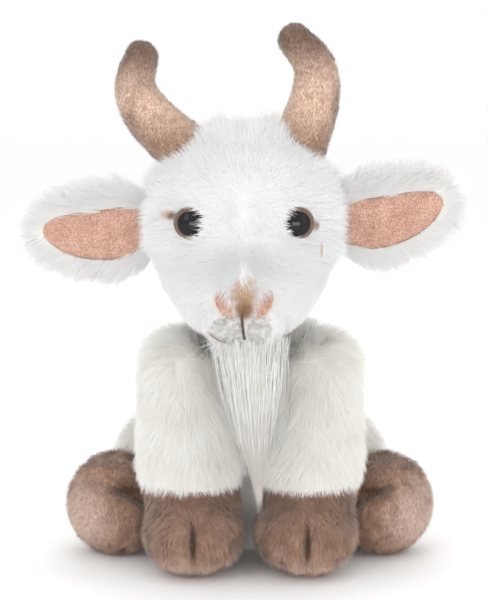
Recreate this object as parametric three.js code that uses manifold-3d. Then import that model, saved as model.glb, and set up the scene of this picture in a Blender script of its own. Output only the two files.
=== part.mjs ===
// A sitting plush goat: faux-fur skins over fibre stuffing, short-pile horns and ear linings, plastic safety
// eyes, floss stitches and a hair beard. Millimetres, +Z up. The goat faces -Y, and the origin is the middle of
// the flat seat that it sits on. "left" is -X and "right" is +X.

import * as THREE from "three";
import { mergeVertices } from "three/addons/utils/BufferGeometryUtils.js";
import Module from "manifold-3d";

const wasm = await Module();
wasm.setup();

// ---- Driving dimensions ------------------------------------------------------------------------------------

// Walls. A skin is its backing cloth and the dense foot of its pile.
const FUR_WALL = 4;
const HOOF_WALL = 3;
const HORN_WALL = 1.6;
const LINING_WALL = 1.5;
const PATCH_WALL = 1.3;
const GAP = 0.4; // between pieces that touch
const SEAM_GAP = 0.8; // between a skin and the skin sewn to it that turns against it
const LEG_GAP = 2.6; // round the legs, so that they swing without catching on the torso

// Torso: a seat and a chest, flat where it sits.
const SEAT = { radius: 44, depth: 42, height: 50, lift: 42 };
const CHEST = { width: 36, depth: 30, height: 32, forward: 16, lift: 82 };
const TORSO_BLEND = 16;
const BEANS = { width: 18, depth: 27, height: 12 };

// Neck: a ball of stuffing between torso and head.
const NECK = { radius: 17, forward: 34, lift: 111 };

// Head, whose middle is a little to the left of the seat's.
const HEAD_SHIFT = -3;
const SKULL = { width: 42, depth: 39, height: 43, forward: 42, lift: 168 };
const MUZZLE = { width: 34, depth: 32, height: 24, forward: 72, lift: 137 };
const JOWL = { width: 39, depth: 28, height: 25, forward: 50, lift: 144 };
const HEAD_BLEND = 14;

// Safety eyes.
const EYE = { radius: 7.9, height: 5.6, shankRadius: 2, shankLength: 10.5, apart: 25.4, lift: 170 };
const WASHER = { radius: 6.2, thick: 1.5, bore: 2.3, clear: 4.2 }; // clear of the skin's inside

// Nose and lip patches, as seen from the front. The nose's top and bottom are heights above its middle.
const NOSE = { lift: 137, inner: 1.2, outer: 14, top: 7, bottom: -6.5 };
const LIP = { halfWidth: 15, top: 129.5, bottom: 118, sag: 4 };

// Horns: a curve that leaves the skull, bows outwards and curls back in.
const HORN = { apart: 25, forward: 34, base: 15, tip: 7.8, lift: 199, bow: 10, curl: 1, back: 6 };
const HORN_LEAN = { left: 28, right: 0 }; // degrees outwards
const HORN_RISE = { left: 55, right: 57 };

// Ears: cupped leaves, sewn on along an upright seam.
const EAR = { length: 61.5, halfWidth: 21.5, wall: 3, cup: 9, forward: 31, lift: 165, proud: 4, sweep: 6 };
const EAR_RISE = { left: -3, right: 13 }; // degrees
const EAR_ROOT = { radius: 6, length: 15 }; // the rolled seam that the ear flaps about
const LINING = { start: 4, length: 49, halfWidth: 14 };

// Beard.
const BEARD = { width: 9, depth: 4, length: 61, forward: 88, tipForward: 94, lift: 114, tipShift: 3.5, shift: 2.5 };

// Forelegs: from a round shoulder down to a hoof that points forwards.
const SHOULDER = { radius: 19.5, apart: 13, forward: 46, lift: 91 }; // apart: the middle to its inner side
const WRIST = { radius: 23, apart: 6, forward: 57, lift: 46 };
const FORE_HOOF = { width: 23.5, depth: 28, height: 22, apart: 3.5, forward: 66, lift: 20 };
const FORE_ANKLE_LIFT = 37;

// Hind legs: from a thigh that is round about an upright axis, out and forwards to a hoof.
const THIGH = { radius: 23, height: 34, out: 46, forward: 2, lift: 33 };
const SHIN_RADIUS = 18;
const HIND_HOOF = { radius: 24, length: 22, past: 15, forward: 31, lift: 25 }; // past: beyond the wrists
const HIND_ANKLE_BACK = 9; // from the hoof's middle, towards the thigh
const LEG_BLEND = 10;
const SOLE_LIFT = 8; // height of the fore sole's seam
const HIND_SOLE_OUT = 11; // from the hind hoof's middle, away from the thigh

// Tail: hangs from a round root at the back of the seat.
const TAIL = { rootRadius: 7.5, tipRadius: 6.5, lift: 60, drop: 24, out: 12 };

// Threads.
const FLOSS_RADIUS = 0.8;
const THREAD_RADIUS = 0.6;
const STITCH = { pitch: 7, half: 2.4 }; // of the ladder stitches in the closing seam

// ---- Shapes as distance functions: negative inside ---------------------------------------------------------

const vec = (x, y, z) => new THREE.Vector3(x, y, z);
const UP = vec(0, 0, 1);

function ellipsoid(centre, radii) {
  return (p) => {
    const q = p.clone().sub(centre);
    const scaled = q.clone().divide(radii).length();
    const twice = q.divide(radii).divide(radii).length();
    return twice < 1e-9 ? -Math.min(radii.x, radii.y, radii.z) : (scaled * (scaled - 1)) / twice;
  };
}

function roundCone(a, b, radiusA, radiusB) {
  const along = b.clone().sub(a);
  return (p) => {
    const t = THREE.MathUtils.clamp(p.clone().sub(a).dot(along) / along.lengthSq(), 0, 1);
    return p.distanceTo(a.clone().addScaledVector(along, t)) - THREE.MathUtils.lerp(radiusA, radiusB, t);
  };
}

function blend(width, ...shapes) {
  return (p) =>
    shapes
      .map((shape) => shape(p))
      .reduce((a, b) => {
        const share = Math.max(width - Math.abs(a - b), 0) / width;
        return Math.min(a, b) - (share * share * width) / 4;
      });
}

const onFloor = (shape) => (p) => Math.max(shape(p), -p.z);

// ---- Solids ------------------------------------------------------------------------------------------------

// A closed mesh from rows of points: each row is a ring of the same number of points, and the first and the last
// row are one point each.
function loft(rows) {
  const points = rows.flat();
  const firsts = rows.map((_, i) => rows.slice(0, i).flat().length);
  const index = [];
  for (let i = 0; i + 1 < rows.length; i++) {
    const [here, next] = [rows[i], rows[i + 1]];
    const n = Math.max(here.length, next.length);
    const at = (row, first, j) => first + (row.length === 1 ? 0 : j % n);
    for (let j = 0; j < n; j++) {
      const a = at(here, firsts[i], j);
      const b = at(here, firsts[i], j + 1);
      const c = at(next, firsts[i + 1], j);
      const d = at(next, firsts[i + 1], j + 1);
      if (a !== b) index.push(a, b, c);
      if (c !== d) index.push(b, d, c);
    }
  }
  const geometry = new THREE.BufferGeometry().setFromPoints(points);
  geometry.setIndex(index);
  return geometry;
}

// A closed three.js geometry as a solid, facing out.
function solidOf(geometry) {
  const bare = new THREE.BufferGeometry().setAttribute("position", geometry.getAttribute("position"));
  if (geometry.index) bare.setIndex(geometry.index);
  const merged = mergeVertices(bare, 1e-4);
  const triVerts = new Uint32Array(merged.index.array);
  const p = merged.attributes.position;
  const corner = (i) => new THREE.Vector3().fromBufferAttribute(p, triVerts[i]);
  let volume = 0;
  for (let i = 0; i < triVerts.length; i += 3) volume += corner(i).dot(corner(i + 1).cross(corner(i + 2)));
  if (volume < 0)
    for (let i = 0; i < triVerts.length; i += 3)
      [triVerts[i + 1], triVerts[i + 2]] = [triVerts[i + 2], triVerts[i + 1]];
  return new wasm.Manifold(new wasm.Mesh({ numProp: 3, vertProperties: p.array, triVerts }));
}

function geometryOf(solid) {
  const mesh = solid.getMesh();
  const geometry = new THREE.BufferGeometry();
  geometry.setAttribute("position", new THREE.BufferAttribute(new Float32Array(mesh.vertProperties), 3));
  geometry.setIndex(new THREE.BufferAttribute(new Uint32Array(mesh.triVerts), 1));
  geometry.computeVertexNormals();
  return geometry;
}

// How far the surface is from a centre in one direction; grow is how far outside the shape the surface lies.
function reach(shape, centre, direction, grow) {
  const outside = (t) => shape(centre.clone().addScaledVector(direction, t)) > grow;
  let far = 1;
  while (!outside(far)) far += 1;
  let near = far - 1;
  for (let i = 0; i < 20; i++) {
    const middle = (near + far) / 2;
    if (outside(middle)) far = middle;
    else near = middle;
  }
  return far;
}

// A blob is a shape with a centre that sees its whole surface, and an axis that its rings go round.
function blob(shape, centre, axis, rings, sectors) {
  return { shape, centre, axis: axis.clone().normalize(), rings, sectors };
}

function blobSolid({ shape, centre, axis, rings, sectors }, grow = 0) {
  const turn = new THREE.Quaternion().setFromUnitVectors(UP, axis);
  const rows = [];
  for (let i = 0; i <= rings; i++) {
    const polar = (Math.PI * i) / rings;
    const pole = i === 0 || i === rings;
    rows.push(
      Array.from({ length: pole ? 1 : sectors }, (_, j) => {
        const direction = new THREE.Vector3().setFromSphericalCoords(1, polar, (2 * Math.PI * j) / sectors);
        direction.set(direction.z, direction.x, direction.y).applyQuaternion(turn);
        return centre.clone().addScaledVector(direction, reach(shape, centre, direction, grow));
      }),
    );
  }
  return solidOf(loft(rows));
}

// The skin and the stuffing of a blob.
function shell(body, wall) {
  return blobSolid(body).subtract(blobSolid(body, -wall));
}

function stuffing(body, wall) {
  return blobSolid(body, -wall - GAP);
}

const HUGE = 400;

// All space on the far side of a plane through a point, along a direction.
function beyond(point, direction) {
  const box = new THREE.BoxGeometry(HUGE, HUGE, HUGE).translate(0, 0, HUGE / 2);
  box.applyQuaternion(new THREE.Quaternion().setFromUnitVectors(UP, direction.clone().normalize()));
  return solidOf(box.translate(...point));
}

// A thread or floss along a curve.
function thread(points, radius, steps) {
  const section = new THREE.Shape().absarc(0, 0, radius, 0, 2 * Math.PI);
  const extrudePath = new THREE.CatmullRomCurve3(points);
  return new THREE.ExtrudeGeometry(section, { steps, extrudePath, curveSegments: 3, bevelEnabled: false });
}

// ---- Materials and the scene graph -------------------------------------------------------------------------

const material = (color, roughness, metalness = 0) => new THREE.MeshStandardMaterial({ color, roughness, metalness });
const WHITE_FUR = material(0xf3f2ee, 0.95);
const BROWN_FUR = material(0x8d7062, 0.95);
const SOLE_FUR = material(0xbda598, 0.95);
const HORN_PILE = material(0xc3a08a, 0.9);
const PINK_PILE = material(0xe6bcab, 0.9);
const LIP_PILE = material(0xe9e9e8, 0.9);
const HAIR = material(0xf4f3ef, 0.6);
const FILL = material(0xfafafa, 1);
const POUCH = material(0xd8d4cc, 0.9);
const FLOSS = material(0x5a4334, 0.7);
const SEWING_THREAD = material(0xefeeea, 0.7);
const EYE_PLASTIC = material(0x16120f, 0.1);
const WASHER_PLASTIC = material(0xdedede, 0.5);

const goat = new THREE.Group();

function add(name, shape, look) {
  const mesh = new THREE.Mesh(shape.isBufferGeometry ? shape : geometryOf(shape), look);
  mesh.name = name;
  goat.add(mesh);
  return mesh;
}

const SIDES = [
  ["left", -1],
  ["right", 1],
];

// ---- The blobs that the goat is made of --------------------------------------------------------------------

const seat = ellipsoid(vec(0, 0, SEAT.lift), vec(SEAT.radius, SEAT.depth, SEAT.height));
const chest = ellipsoid(vec(0, -CHEST.forward, CHEST.lift), vec(CHEST.width, CHEST.depth, CHEST.height));
const torso = blob(onFloor(blend(TORSO_BLEND, seat, chest)), vec(0, -4, 55), UP, 11, 18);

const headPart = ({ width, depth, height, forward, lift }) =>
  ellipsoid(vec(HEAD_SHIFT, -forward, lift), vec(width, depth, height));
const headShape = blend(HEAD_BLEND, headPart(SKULL), headPart(JOWL), headPart(MUZZLE));
const head = blob(headShape, vec(HEAD_SHIFT, -52, 156), vec(0, -0.25, 1), 12, 20);

const neckMiddle = vec(HEAD_SHIFT, -NECK.forward, NECK.lift);
const neckBall = (grow) => solidOf(new THREE.SphereGeometry(NECK.radius + grow, 14, 9).translate(...neckMiddle));

function foreHoofMiddle(side) {
  return vec(side * (FORE_HOOF.apart + FORE_HOOF.width), -FORE_HOOF.forward, FORE_HOOF.lift);
}

function foreleg(side) {
  const shoulder = vec(side * (SHOULDER.apart + SHOULDER.radius), -SHOULDER.forward, SHOULDER.lift);
  const wrist = vec(side * (WRIST.apart + WRIST.radius), -WRIST.forward, WRIST.lift);
  const hoof = foreHoofMiddle(side);
  const arm = roundCone(shoulder, wrist, SHOULDER.radius, WRIST.radius);
  const toe = ellipsoid(hoof, vec(FORE_HOOF.width, FORE_HOOF.depth, FORE_HOOF.height));
  return blob(onFloor(blend(LEG_BLEND, arm, toe)), wrist, shoulder.clone().sub(wrist), 10, 14);
}

function hindleg(side) {
  const hip = vec(side * THIGH.out, -THIGH.forward, THIGH.lift);
  const wristSide = WRIST.apart + 2 * WRIST.radius;
  const hoof = vec(side * (wristSide + HIND_HOOF.past), -HIND_HOOF.forward, HIND_HOOF.lift);
  const out = hoof.clone().sub(hip).setZ(0).normalize();
  const shin = roundCone(hip.clone().setZ(HIND_HOOF.lift), hoof, SHIN_RADIUS, SHIN_RADIUS);
  const thigh = ellipsoid(hip, vec(THIGH.radius, THIGH.radius, THIGH.height));
  const flat = HIND_HOOF.length / HIND_HOOF.radius;
  // The hoof is round about the leg's own direction and a little shorter along it.
  const toe = (p) => {
    const q = p.clone().sub(hoof);
    q.addScaledVector(out, q.dot(out) * (1 / flat - 1));
    return q.length() - HIND_HOOF.radius;
  };
  const middle = hip.clone().lerp(hoof, 0.5).setZ(HIND_HOOF.lift + 2);
  const body = blob(onFloor(blend(LEG_BLEND, thigh, shin, toe)), middle, out, 10, 14);
  return { body, hoof, out };
}

// ---- Torso and neck ----------------------------------------------------------------------------------------

const torsoCutters = [neckBall(SEAM_GAP)];
for (const [, side] of SIDES) {
  torsoCutters.push(blobSolid(foreleg(side), LEG_GAP));
  torsoCutters.push(blobSolid(hindleg(side).body, LEG_GAP));
}
const withoutLimbs = (solid) => torsoCutters.reduce((left, cutter) => left.subtract(cutter), solid);

add("torso_skin", withoutLimbs(shell(torso, FUR_WALL)), WHITE_FUR);

const pouch = blob(
  ellipsoid(vec(0, 0, BEANS.height + FUR_WALL + 2 * GAP), vec(BEANS.width, BEANS.depth, BEANS.height)),
  vec(0, 0, BEANS.height + FUR_WALL + 2 * GAP),
  UP,
  6,
  12,
);
add("torso_stuffing", withoutLimbs(stuffing(torso, FUR_WALL)).subtract(blobSolid(pouch, 2 * GAP)), FILL);
add("bean_bag", blobSolid(pouch), POUCH);
add("neck_stuffing", neckBall(0), FILL);

// The closing seam runs down the back, above the tail, as a ladder of short cross stitches on one thread.
function backPoint(x, z, off) {
  const from = vec(x, 0, z);
  const back = vec(0, 1, 0);
  return from.addScaledVector(back, reach(torso.shape, from, back, off));
}
const seamOff = THREAD_RADIUS + GAP;
const seamRows = Array.from({ length: 10 }, (_, i) => TAIL.lift + TAIL.rootRadius + 6 + (i * STITCH.pitch) / 2);
const seamPoints = seamRows.map((z, i) => backPoint(i % 2 ? STITCH.half : -STITCH.half, z, seamOff));
add("closing_seam", thread(seamPoints, THREAD_RADIUS, 18), SEWING_THREAD);

// ---- Head --------------------------------------------------------------------------------------------------

// The ears' seams stand a little proud of the head's sides.
const headSide = vec(HEAD_SHIFT, -EAR.forward, EAR.lift);
const earOut = reach(headShape, headSide, vec(1, 0, 0), EAR.proud);

// The rolled seam of an ear lies in a pocket of the head's skin, so that it can turn there.
function earRoot(side, grow) {
  const radius = EAR_ROOT.radius + grow;
  const roll = new THREE.CylinderGeometry(radius, radius, EAR_ROOT.length + 2 * grow, 14);
  return solidOf(roll.translate(HEAD_SHIFT + side * earOut, -EAR.forward, EAR.lift));
}

const headGrown = (grow) => blobSolid(head, grow);
const neckSocket = neckBall(SEAM_GAP);

function eyeFrame(side) {
  const from = vec(HEAD_SHIFT + side * EYE.apart, -SKULL.forward, EYE.lift);
  const front = vec(0, -1, 0);
  const place = from.addScaledVector(front, reach(head.shape, from, front, 0));
  const slope = (axis) =>
    head.shape(place.clone().addScaledVector(axis, 0.5)) - head.shape(place.clone().addScaledVector(axis, -0.5));
  // The eye looks halfway between straight out of the skin and straight ahead.
  const normal = vec(slope(vec(1, 0, 0)), slope(vec(0, 1, 0)), slope(UP)).normalize().add(front).normalize();
  return { place, normal, turn: new THREE.Quaternion().setFromUnitVectors(UP, normal) };
}

// A lathe whose profile is given as [radius, height] pairs about +Z, with height 0 on the skin at an eye.
function turned(profile, { place, turn }, segments = 14) {
  const points = profile.map(([r, h]) => new THREE.Vector2(r, h));
  const lathe = new THREE.LatheGeometry(points, segments).rotateX(Math.PI / 2);
  return lathe.applyQuaternion(turn).translate(...place);
}

function eyeProfile() {
  const dome = Array.from({ length: 5 }, (_, i) => {
    const angle = (Math.PI / 2) * (i / 4);
    return [i === 4 ? 0 : EYE.radius * Math.cos(angle), GAP + 0.8 + (EYE.height - 0.8) * Math.sin(angle)];
  });
  const end = GAP - EYE.shankLength;
  return [
    [0, end],
    [EYE.shankRadius * 0.6, end],
    [EYE.shankRadius, end + 1.5],
    [EYE.shankRadius, GAP],
    [EYE.radius, GAP],
    ...dome,
  ];
}

const washerTop = -FUR_WALL - WASHER.clear;
const washerProfile = [
  [WASHER.bore, washerTop - WASHER.thick],
  [WASHER.radius, washerTop - WASHER.thick],
  [WASHER.radius, washerTop],
  [WASHER.bore, washerTop],
  [WASHER.bore, washerTop - WASHER.thick],
];

let headSkin = shell(head, FUR_WALL).subtract(neckSocket);
let headFill = stuffing(head, FUR_WALL).subtract(neckSocket);
for (const [name, side] of SIDES) {
  const frame = eyeFrame(side);
  const tool = (radius, low, high) =>
    solidOf(turned([[0, low], [radius, low], [radius, high], [0, high]], frame, 14));
  headSkin = headSkin
    .subtract(tool(EYE.radius + GAP, 0, 3))
    .subtract(tool(EYE.shankRadius + GAP, -FUR_WALL - 3, 3))
    .subtract(earRoot(side, SEAM_GAP));
  headFill = headFill
    .subtract(tool(WASHER.radius + GAP, washerTop - WASHER.thick - GAP, 3))
    .subtract(tool(EYE.shankRadius + GAP, -EYE.shankLength - GAP, 0));
  add("eye_" + name, turned(eyeProfile(), frame), EYE_PLASTIC);
  add("eye_washer_" + name, turned(washerProfile, frame), WASHER_PLASTIC);
}
add("head_skin", headSkin, WHITE_FUR);
add("head_stuffing", headFill, FILL);

// Patches are cut from a thin layer on the face by an outline seen from the front, which is given in X and Z.
const faceLayer = headGrown(GAP + PATCH_WALL).subtract(headGrown(GAP));
function facePatch(outline) {
  const cutter = new THREE.ExtrudeGeometry(outline, { depth: HUGE, curveSegments: 6, bevelEnabled: false });
  const placed = cutter.rotateX(Math.PI / 2).translate(HEAD_SHIFT, -MUZZLE.forward - MUZZLE.depth / 3, 0);
  return faceLayer.intersect(solidOf(placed));
}

function noseOutline(side) {
  const { lift, inner, outer, top, bottom } = NOSE;
  const outline = new THREE.Shape();
  outline.moveTo(side * inner, lift + bottom);
  outline.quadraticCurveTo(side * outer, lift + bottom + 1, side * outer, lift + top - 3);
  outline.quadraticCurveTo(side * (outer - 1), lift + top, side * (outer - 5), lift + top);
  outline.quadraticCurveTo(side * (inner + 4), lift + top - 4, side * inner, lift + bottom);
  return outline;
}

function lipOutline() {
  const { halfWidth, top, bottom, sag } = LIP;
  const outline = new THREE.Shape();
  outline.moveTo(-halfWidth, top);
  outline.quadraticCurveTo(-halfWidth, bottom, -halfWidth / 2, bottom - sag / 2);
  outline.quadraticCurveTo(0, bottom - sag / 2, 0, bottom);
  outline.quadraticCurveTo(0, bottom - sag / 2, halfWidth / 2, bottom - sag / 2);
  outline.quadraticCurveTo(halfWidth, bottom, halfWidth, top);
  outline.closePath();
  return outline;
}

for (const [name, side] of SIDES) add("nose_patch_" + name, facePatch(noseOutline(side)), PINK_PILE);
add("lip_panel", facePatch(lipOutline()), LIP_PILE);

// Floss lies on the patches.
function facePoint(x, z) {
  const from = vec(HEAD_SHIFT + x, -MUZZLE.forward, z);
  const front = vec(0, -1, 0);
  return from.addScaledVector(front, reach(head.shape, from, front, 2 * GAP + PATCH_WALL + FLOSS_RADIUS));
}
const mouthTop = NOSE.lift + NOSE.bottom + 2;
const mouthBottom = LIP.bottom - 1;
const mouthPoints = [0, 1, 2, 3].map((i) => facePoint(0, THREE.MathUtils.lerp(mouthTop, mouthBottom, i / 3)));
add("mouth_stitch", thread(mouthPoints, FLOSS_RADIUS, 8), FLOSS);
const smilePoints = [0, 1, 2, 3].map((i) => {
  const t = i / 3;
  return facePoint(-LIP.halfWidth - 1 + 13 * t, LIP.bottom + 1 - 3.2 * Math.sin((t * Math.PI) / 2));
});
add("smile_stitch_left", thread(smilePoints, FLOSS_RADIUS, 8), FLOSS);

// ---- Horns -------------------------------------------------------------------------------------------------

function hornSolid(side, lean, rise, thinner, steps, sectors) {
  const root = vec(HEAD_SHIFT + side * HORN.apart, -HORN.forward, HORN.lift);
  const point = (x, y, z) => vec(side * x, y, z);
  const curve = new THREE.CatmullRomCurve3([
    point(-7, 0, -16),
    point(0, 0, 0),
    point(HORN.bow * 0.95, HORN.back * 0.4, rise * 0.48),
    point(HORN.bow * 0.9, HORN.back * 0.8, rise * 0.78),
    point(-HORN.curl, HORN.back, rise),
  ]);
  const turn = new THREE.Quaternion().setFromAxisAngle(vec(0, 1, 0), side * THREE.MathUtils.degToRad(lean));
  const frames = curve.computeFrenetFrames(steps);
  const rows = [[curve.getPointAt(0)]];
  const ring = (i, radius, ahead = 0) => {
    const middle = curve.getPointAt(i / steps).addScaledVector(frames.tangents[i], ahead);
    return Array.from({ length: sectors }, (_, j) => {
      const a = (2 * Math.PI * j) / sectors;
      return middle
        .clone()
        .addScaledVector(frames.normals[i], radius * Math.cos(a))
        .addScaledVector(frames.binormals[i], radius * Math.sin(a));
    });
  };
  // The tip is rounded off over its last steps.
  for (let i = 0; i <= steps; i++) {
    const radius = THREE.MathUtils.lerp(HORN.base, HORN.tip, Math.pow(i / steps, 1.15)) - thinner;
    rows.push(ring(i, radius));
    if (i === steps) {
      rows.push(ring(i, radius * 0.8, radius * 0.55));
      rows.push([curve.getPointAt(1).addScaledVector(frames.tangents[i], radius * 0.85)]);
    }
  }
  const placed = rows.map((row) => row.map((p) => p.applyQuaternion(turn).add(root)));
  return solidOf(loft(placed));
}

for (const [name, side] of SIDES) {
  const horn = (thinner, steps, sectors) =>
    hornSolid(side, HORN_LEAN[name], HORN_RISE[name], thinner, steps, sectors);
  const off = headGrown(GAP);
  add("horn_skin_" + name, horn(0, 8, 10).subtract(horn(HORN_WALL, 8, 10)).subtract(off), HORN_PILE);
  add("horn_stuffing_" + name, horn(HORN_WALL + GAP, 8, 10).subtract(off), FILL);
}

// ---- Ears --------------------------------------------------------------------------------------------------

// A leaf in its own frame: x from root to tip, z up across the ear, and its hollow side towards -Y.
function leaf({ start, length, halfWidth: widest }, wall, forward) {
  const along = 7;
  const across = 6;
  const halfWidth = (u) => widest * Math.pow(Math.sin(Math.PI * Math.pow(0.04 + 0.96 * u, 0.75)), 0.62);
  // The sides come forwards, and the upper one folds over further.
  const cup = (v) => EAR.cup * (v > 0.25 ? 1.5 * Math.pow(v - 0.25, 1.3) : 0.9 * Math.pow(0.25 - v, 1.6));
  const point = (u, v, off) => {
    const x = start + length * u;
    const lift = halfWidth(u) * v;
    return vec(x, -cup((lift / EAR.halfWidth) * 1.05) - forward - off, lift);
  };
  const rows = [[point(0, 0, wall / 2)]];
  for (let i = 0; i < along; i++) {
    const u = 1 - Math.pow(1 - i / along, 1.5);
    const steps = Array.from({ length: across + 1 }, (_, j) => (2 * j) / across - 1);
    const near = steps.map((v) => point(u, v, 0));
    const far = steps.map((v) => point(u, v, wall)).reverse();
    rows.push([...near, ...far]);
  }
  rows.push([point(1, 0, wall / 2)]);
  return loft(rows);
}

function placedLeaf(geometry, side, rise) {
  const tilt = new THREE.Matrix4().makeRotationY(THREE.MathUtils.degToRad(-rise));
  const sweep = new THREE.Matrix4().makeRotationZ(THREE.MathUtils.degToRad(EAR.sweep));
  const mirror = new THREE.Matrix4().makeScale(side, 1, 1);
  const move = new THREE.Matrix4().makeTranslation(HEAD_SHIFT + side * earOut, -EAR.forward, EAR.lift);
  return geometry.applyMatrix4(move.multiply(mirror).multiply(sweep).multiply(tilt));
}

const LINING_OFF = EAR.wall + 3 * GAP;
for (const [name, side] of SIDES) {
  const back = solidOf(placedLeaf(leaf({ start: 0, ...EAR }, EAR.wall, 0), side, EAR_RISE[name]));
  const lining = solidOf(placedLeaf(leaf(LINING, LINING_WALL, LINING_OFF), side, EAR_RISE[name]));
  add("ear_back_" + name, back.add(earRoot(side, 0)), WHITE_FUR);
  add("ear_lining_" + name, lining.subtract(earRoot(side, GAP)), PINK_PILE);
}

// ---- Beard -------------------------------------------------------------------------------------------------

function beardSolid() {
  const rings = 5;
  const sectors = 10;
  const ring = (t) => {
    const width = BEARD.width * Math.pow(1 - t, 0.8) + 1.2;
    const depth = BEARD.depth * Math.pow(1 - t, 0.5) + 0.8;
    const forward = THREE.MathUtils.lerp(BEARD.forward, BEARD.tipForward, Math.sqrt(t));
    const middle = vec(BEARD.shift + BEARD.tipShift * t, -forward, BEARD.lift - BEARD.length * t);
    return Array.from({ length: sectors }, (_, j) => {
      const a = (2 * Math.PI * j) / sectors;
      return middle.clone().add(vec(width * Math.cos(a), depth * Math.sin(a), 0));
    });
  };
  const rows = [[vec(BEARD.shift, -BEARD.forward, BEARD.lift)]];
  for (let i = 0; i <= rings; i++) rows.push(ring(i / rings));
  rows.push([vec(BEARD.shift + BEARD.tipShift, -BEARD.tipForward, BEARD.lift - BEARD.length - 2)]);
  return solidOf(loft(rows)).subtract(headGrown(SEAM_GAP));
}
add("beard", beardSolid(), HAIR);

// ---- Legs --------------------------------------------------------------------------------------------------

// A leg's skin is split into a sleeve, a hoof and a sole by two planes, each with a gap for its seam.
function addLeg(name, body, ankle, up, solePoint, down) {
  const sleeve = blobSolid(body).subtract(blobSolid(body, -FUR_WALL));
  const hoof = blobSolid(body).subtract(blobSolid(body, -HOOF_WALL));
  const above = beyond(ankle.clone().addScaledVector(up, GAP / 2), up);
  const below = beyond(ankle.clone().addScaledVector(up, -GAP / 2), up.clone().negate());
  const under = beyond(solePoint.clone().addScaledVector(down, GAP / 2), down);
  const over = beyond(solePoint.clone().addScaledVector(down, -GAP / 2), down.clone().negate());
  add(name + "_sleeve", sleeve.intersect(above), WHITE_FUR);
  add(name + "_hoof", hoof.intersect(below).intersect(over), BROWN_FUR);
  add(name + "_sole", hoof.intersect(under), SOLE_FUR);
  add(name + "_stuffing", stuffing(body, FUR_WALL), FILL);
}

// A thread laid on a blob between two directions seen from a point inside it.
function dentThread(body, from, directions) {
  const points = directions.map((direction) => {
    const unit = direction.clone().normalize();
    return from.clone().addScaledVector(unit, reach(body.shape, from, unit, THREAD_RADIUS + GAP));
  });
  return thread(points, THREAD_RADIUS, 8);
}

for (const [name, side] of SIDES) {
  const body = foreleg(side);
  const ankle = vec(0, 0, FORE_ANKLE_LIFT);
  addLeg("foreleg_" + name, body, ankle, UP, vec(0, 0, SOLE_LIFT), UP.clone().negate());
  const middle = foreHoofMiddle(side);
  const toes = [0.45, 0.2, -0.05, -0.3].map((z) => vec(side * 0.12, -1, z));
  add("foreleg_" + name + "_toe_stitch", dentThread(body, middle, toes), FLOSS);
}

for (const [name, side] of SIDES) {
  const { body, hoof, out } = hindleg(side);
  const ankle = hoof.clone().addScaledVector(out, -HIND_ANKLE_BACK);
  const sole = hoof.clone().addScaledVector(out, HIND_SOLE_OUT);
  addLeg("hindleg_" + name, body, ankle, out.clone().negate(), sole, out);
  const inwards = vec(-side * -out.y, -Math.abs(out.x), 0).normalize();
  const toes = [0.85, 0.6, 0.3, 0].map((z) => inwards.clone().multiplyScalar(1 - z * 0.6).addScaledVector(UP, z));
  add("hindleg_" + name + "_toe_stitch", dentThread(body, hoof, toes), FLOSS);
}

// ---- Tail --------------------------------------------------------------------------------------------------

const tailRoot = backPoint(0, TAIL.lift, TAIL.rootRadius + SEAM_GAP);
const tailTip = tailRoot.clone().add(vec(0, TAIL.out, -TAIL.drop));
const tail = blob(
  roundCone(tailRoot, tailTip, TAIL.rootRadius, TAIL.tipRadius),
  tailRoot.clone().lerp(tailTip, 0.5),
  tailTip.clone().sub(tailRoot),
  8,
  10,
);
const TAIL_WALL = 2.5;
const turningHole = new THREE.CylinderGeometry(2.5, 2.5, TAIL.rootRadius * 2, 10);
turningHole.translate(0, -TAIL.rootRadius, 0).translate(...tailRoot);
add("tail_skin", shell(tail, TAIL_WALL).subtract(solidOf(turningHole)), WHITE_FUR);
add("tail_stuffing", stuffing(tail, TAIL_WALL), FILL);

export default goat;
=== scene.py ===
"""Looks of a sitting plush goat: stuffed skins with combed fur strands, short pile on hooves, horns and
ear linings, glossy safety eyes, floss stitches and a long hair beard. Shapes are worked out in millimetres
and built in metres. The goat faces -Y, and "left" is -X."""

import math

import bpy
import numpy as np
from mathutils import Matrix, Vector


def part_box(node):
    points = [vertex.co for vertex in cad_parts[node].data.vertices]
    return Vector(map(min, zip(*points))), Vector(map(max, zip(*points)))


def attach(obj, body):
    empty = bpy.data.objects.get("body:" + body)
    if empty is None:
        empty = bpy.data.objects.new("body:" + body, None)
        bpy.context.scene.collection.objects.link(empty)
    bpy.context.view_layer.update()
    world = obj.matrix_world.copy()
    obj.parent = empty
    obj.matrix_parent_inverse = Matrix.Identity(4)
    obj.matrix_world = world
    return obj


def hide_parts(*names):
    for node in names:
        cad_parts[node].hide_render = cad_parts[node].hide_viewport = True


MM = 0.001

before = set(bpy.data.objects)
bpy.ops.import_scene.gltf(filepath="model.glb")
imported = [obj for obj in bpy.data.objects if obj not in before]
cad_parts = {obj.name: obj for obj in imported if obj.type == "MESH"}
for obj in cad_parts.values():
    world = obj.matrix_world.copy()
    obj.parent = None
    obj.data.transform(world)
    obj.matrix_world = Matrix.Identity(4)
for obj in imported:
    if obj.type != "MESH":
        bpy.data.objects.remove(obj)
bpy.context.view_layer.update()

# ---- Sizes, in millimetres -----------------------------------------------------------------------

# Places that are read from the frame.


def box_mm(node):
    low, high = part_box(node)
    return np.array(low) / MM, np.array(high) / MM


def middle(node):
    low, high = box_mm(node)
    return (low + high) / 2


HEAD_X = middle("head_skin")[0]
SIDES = {"left": -1.0, "right": 1.0}

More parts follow.
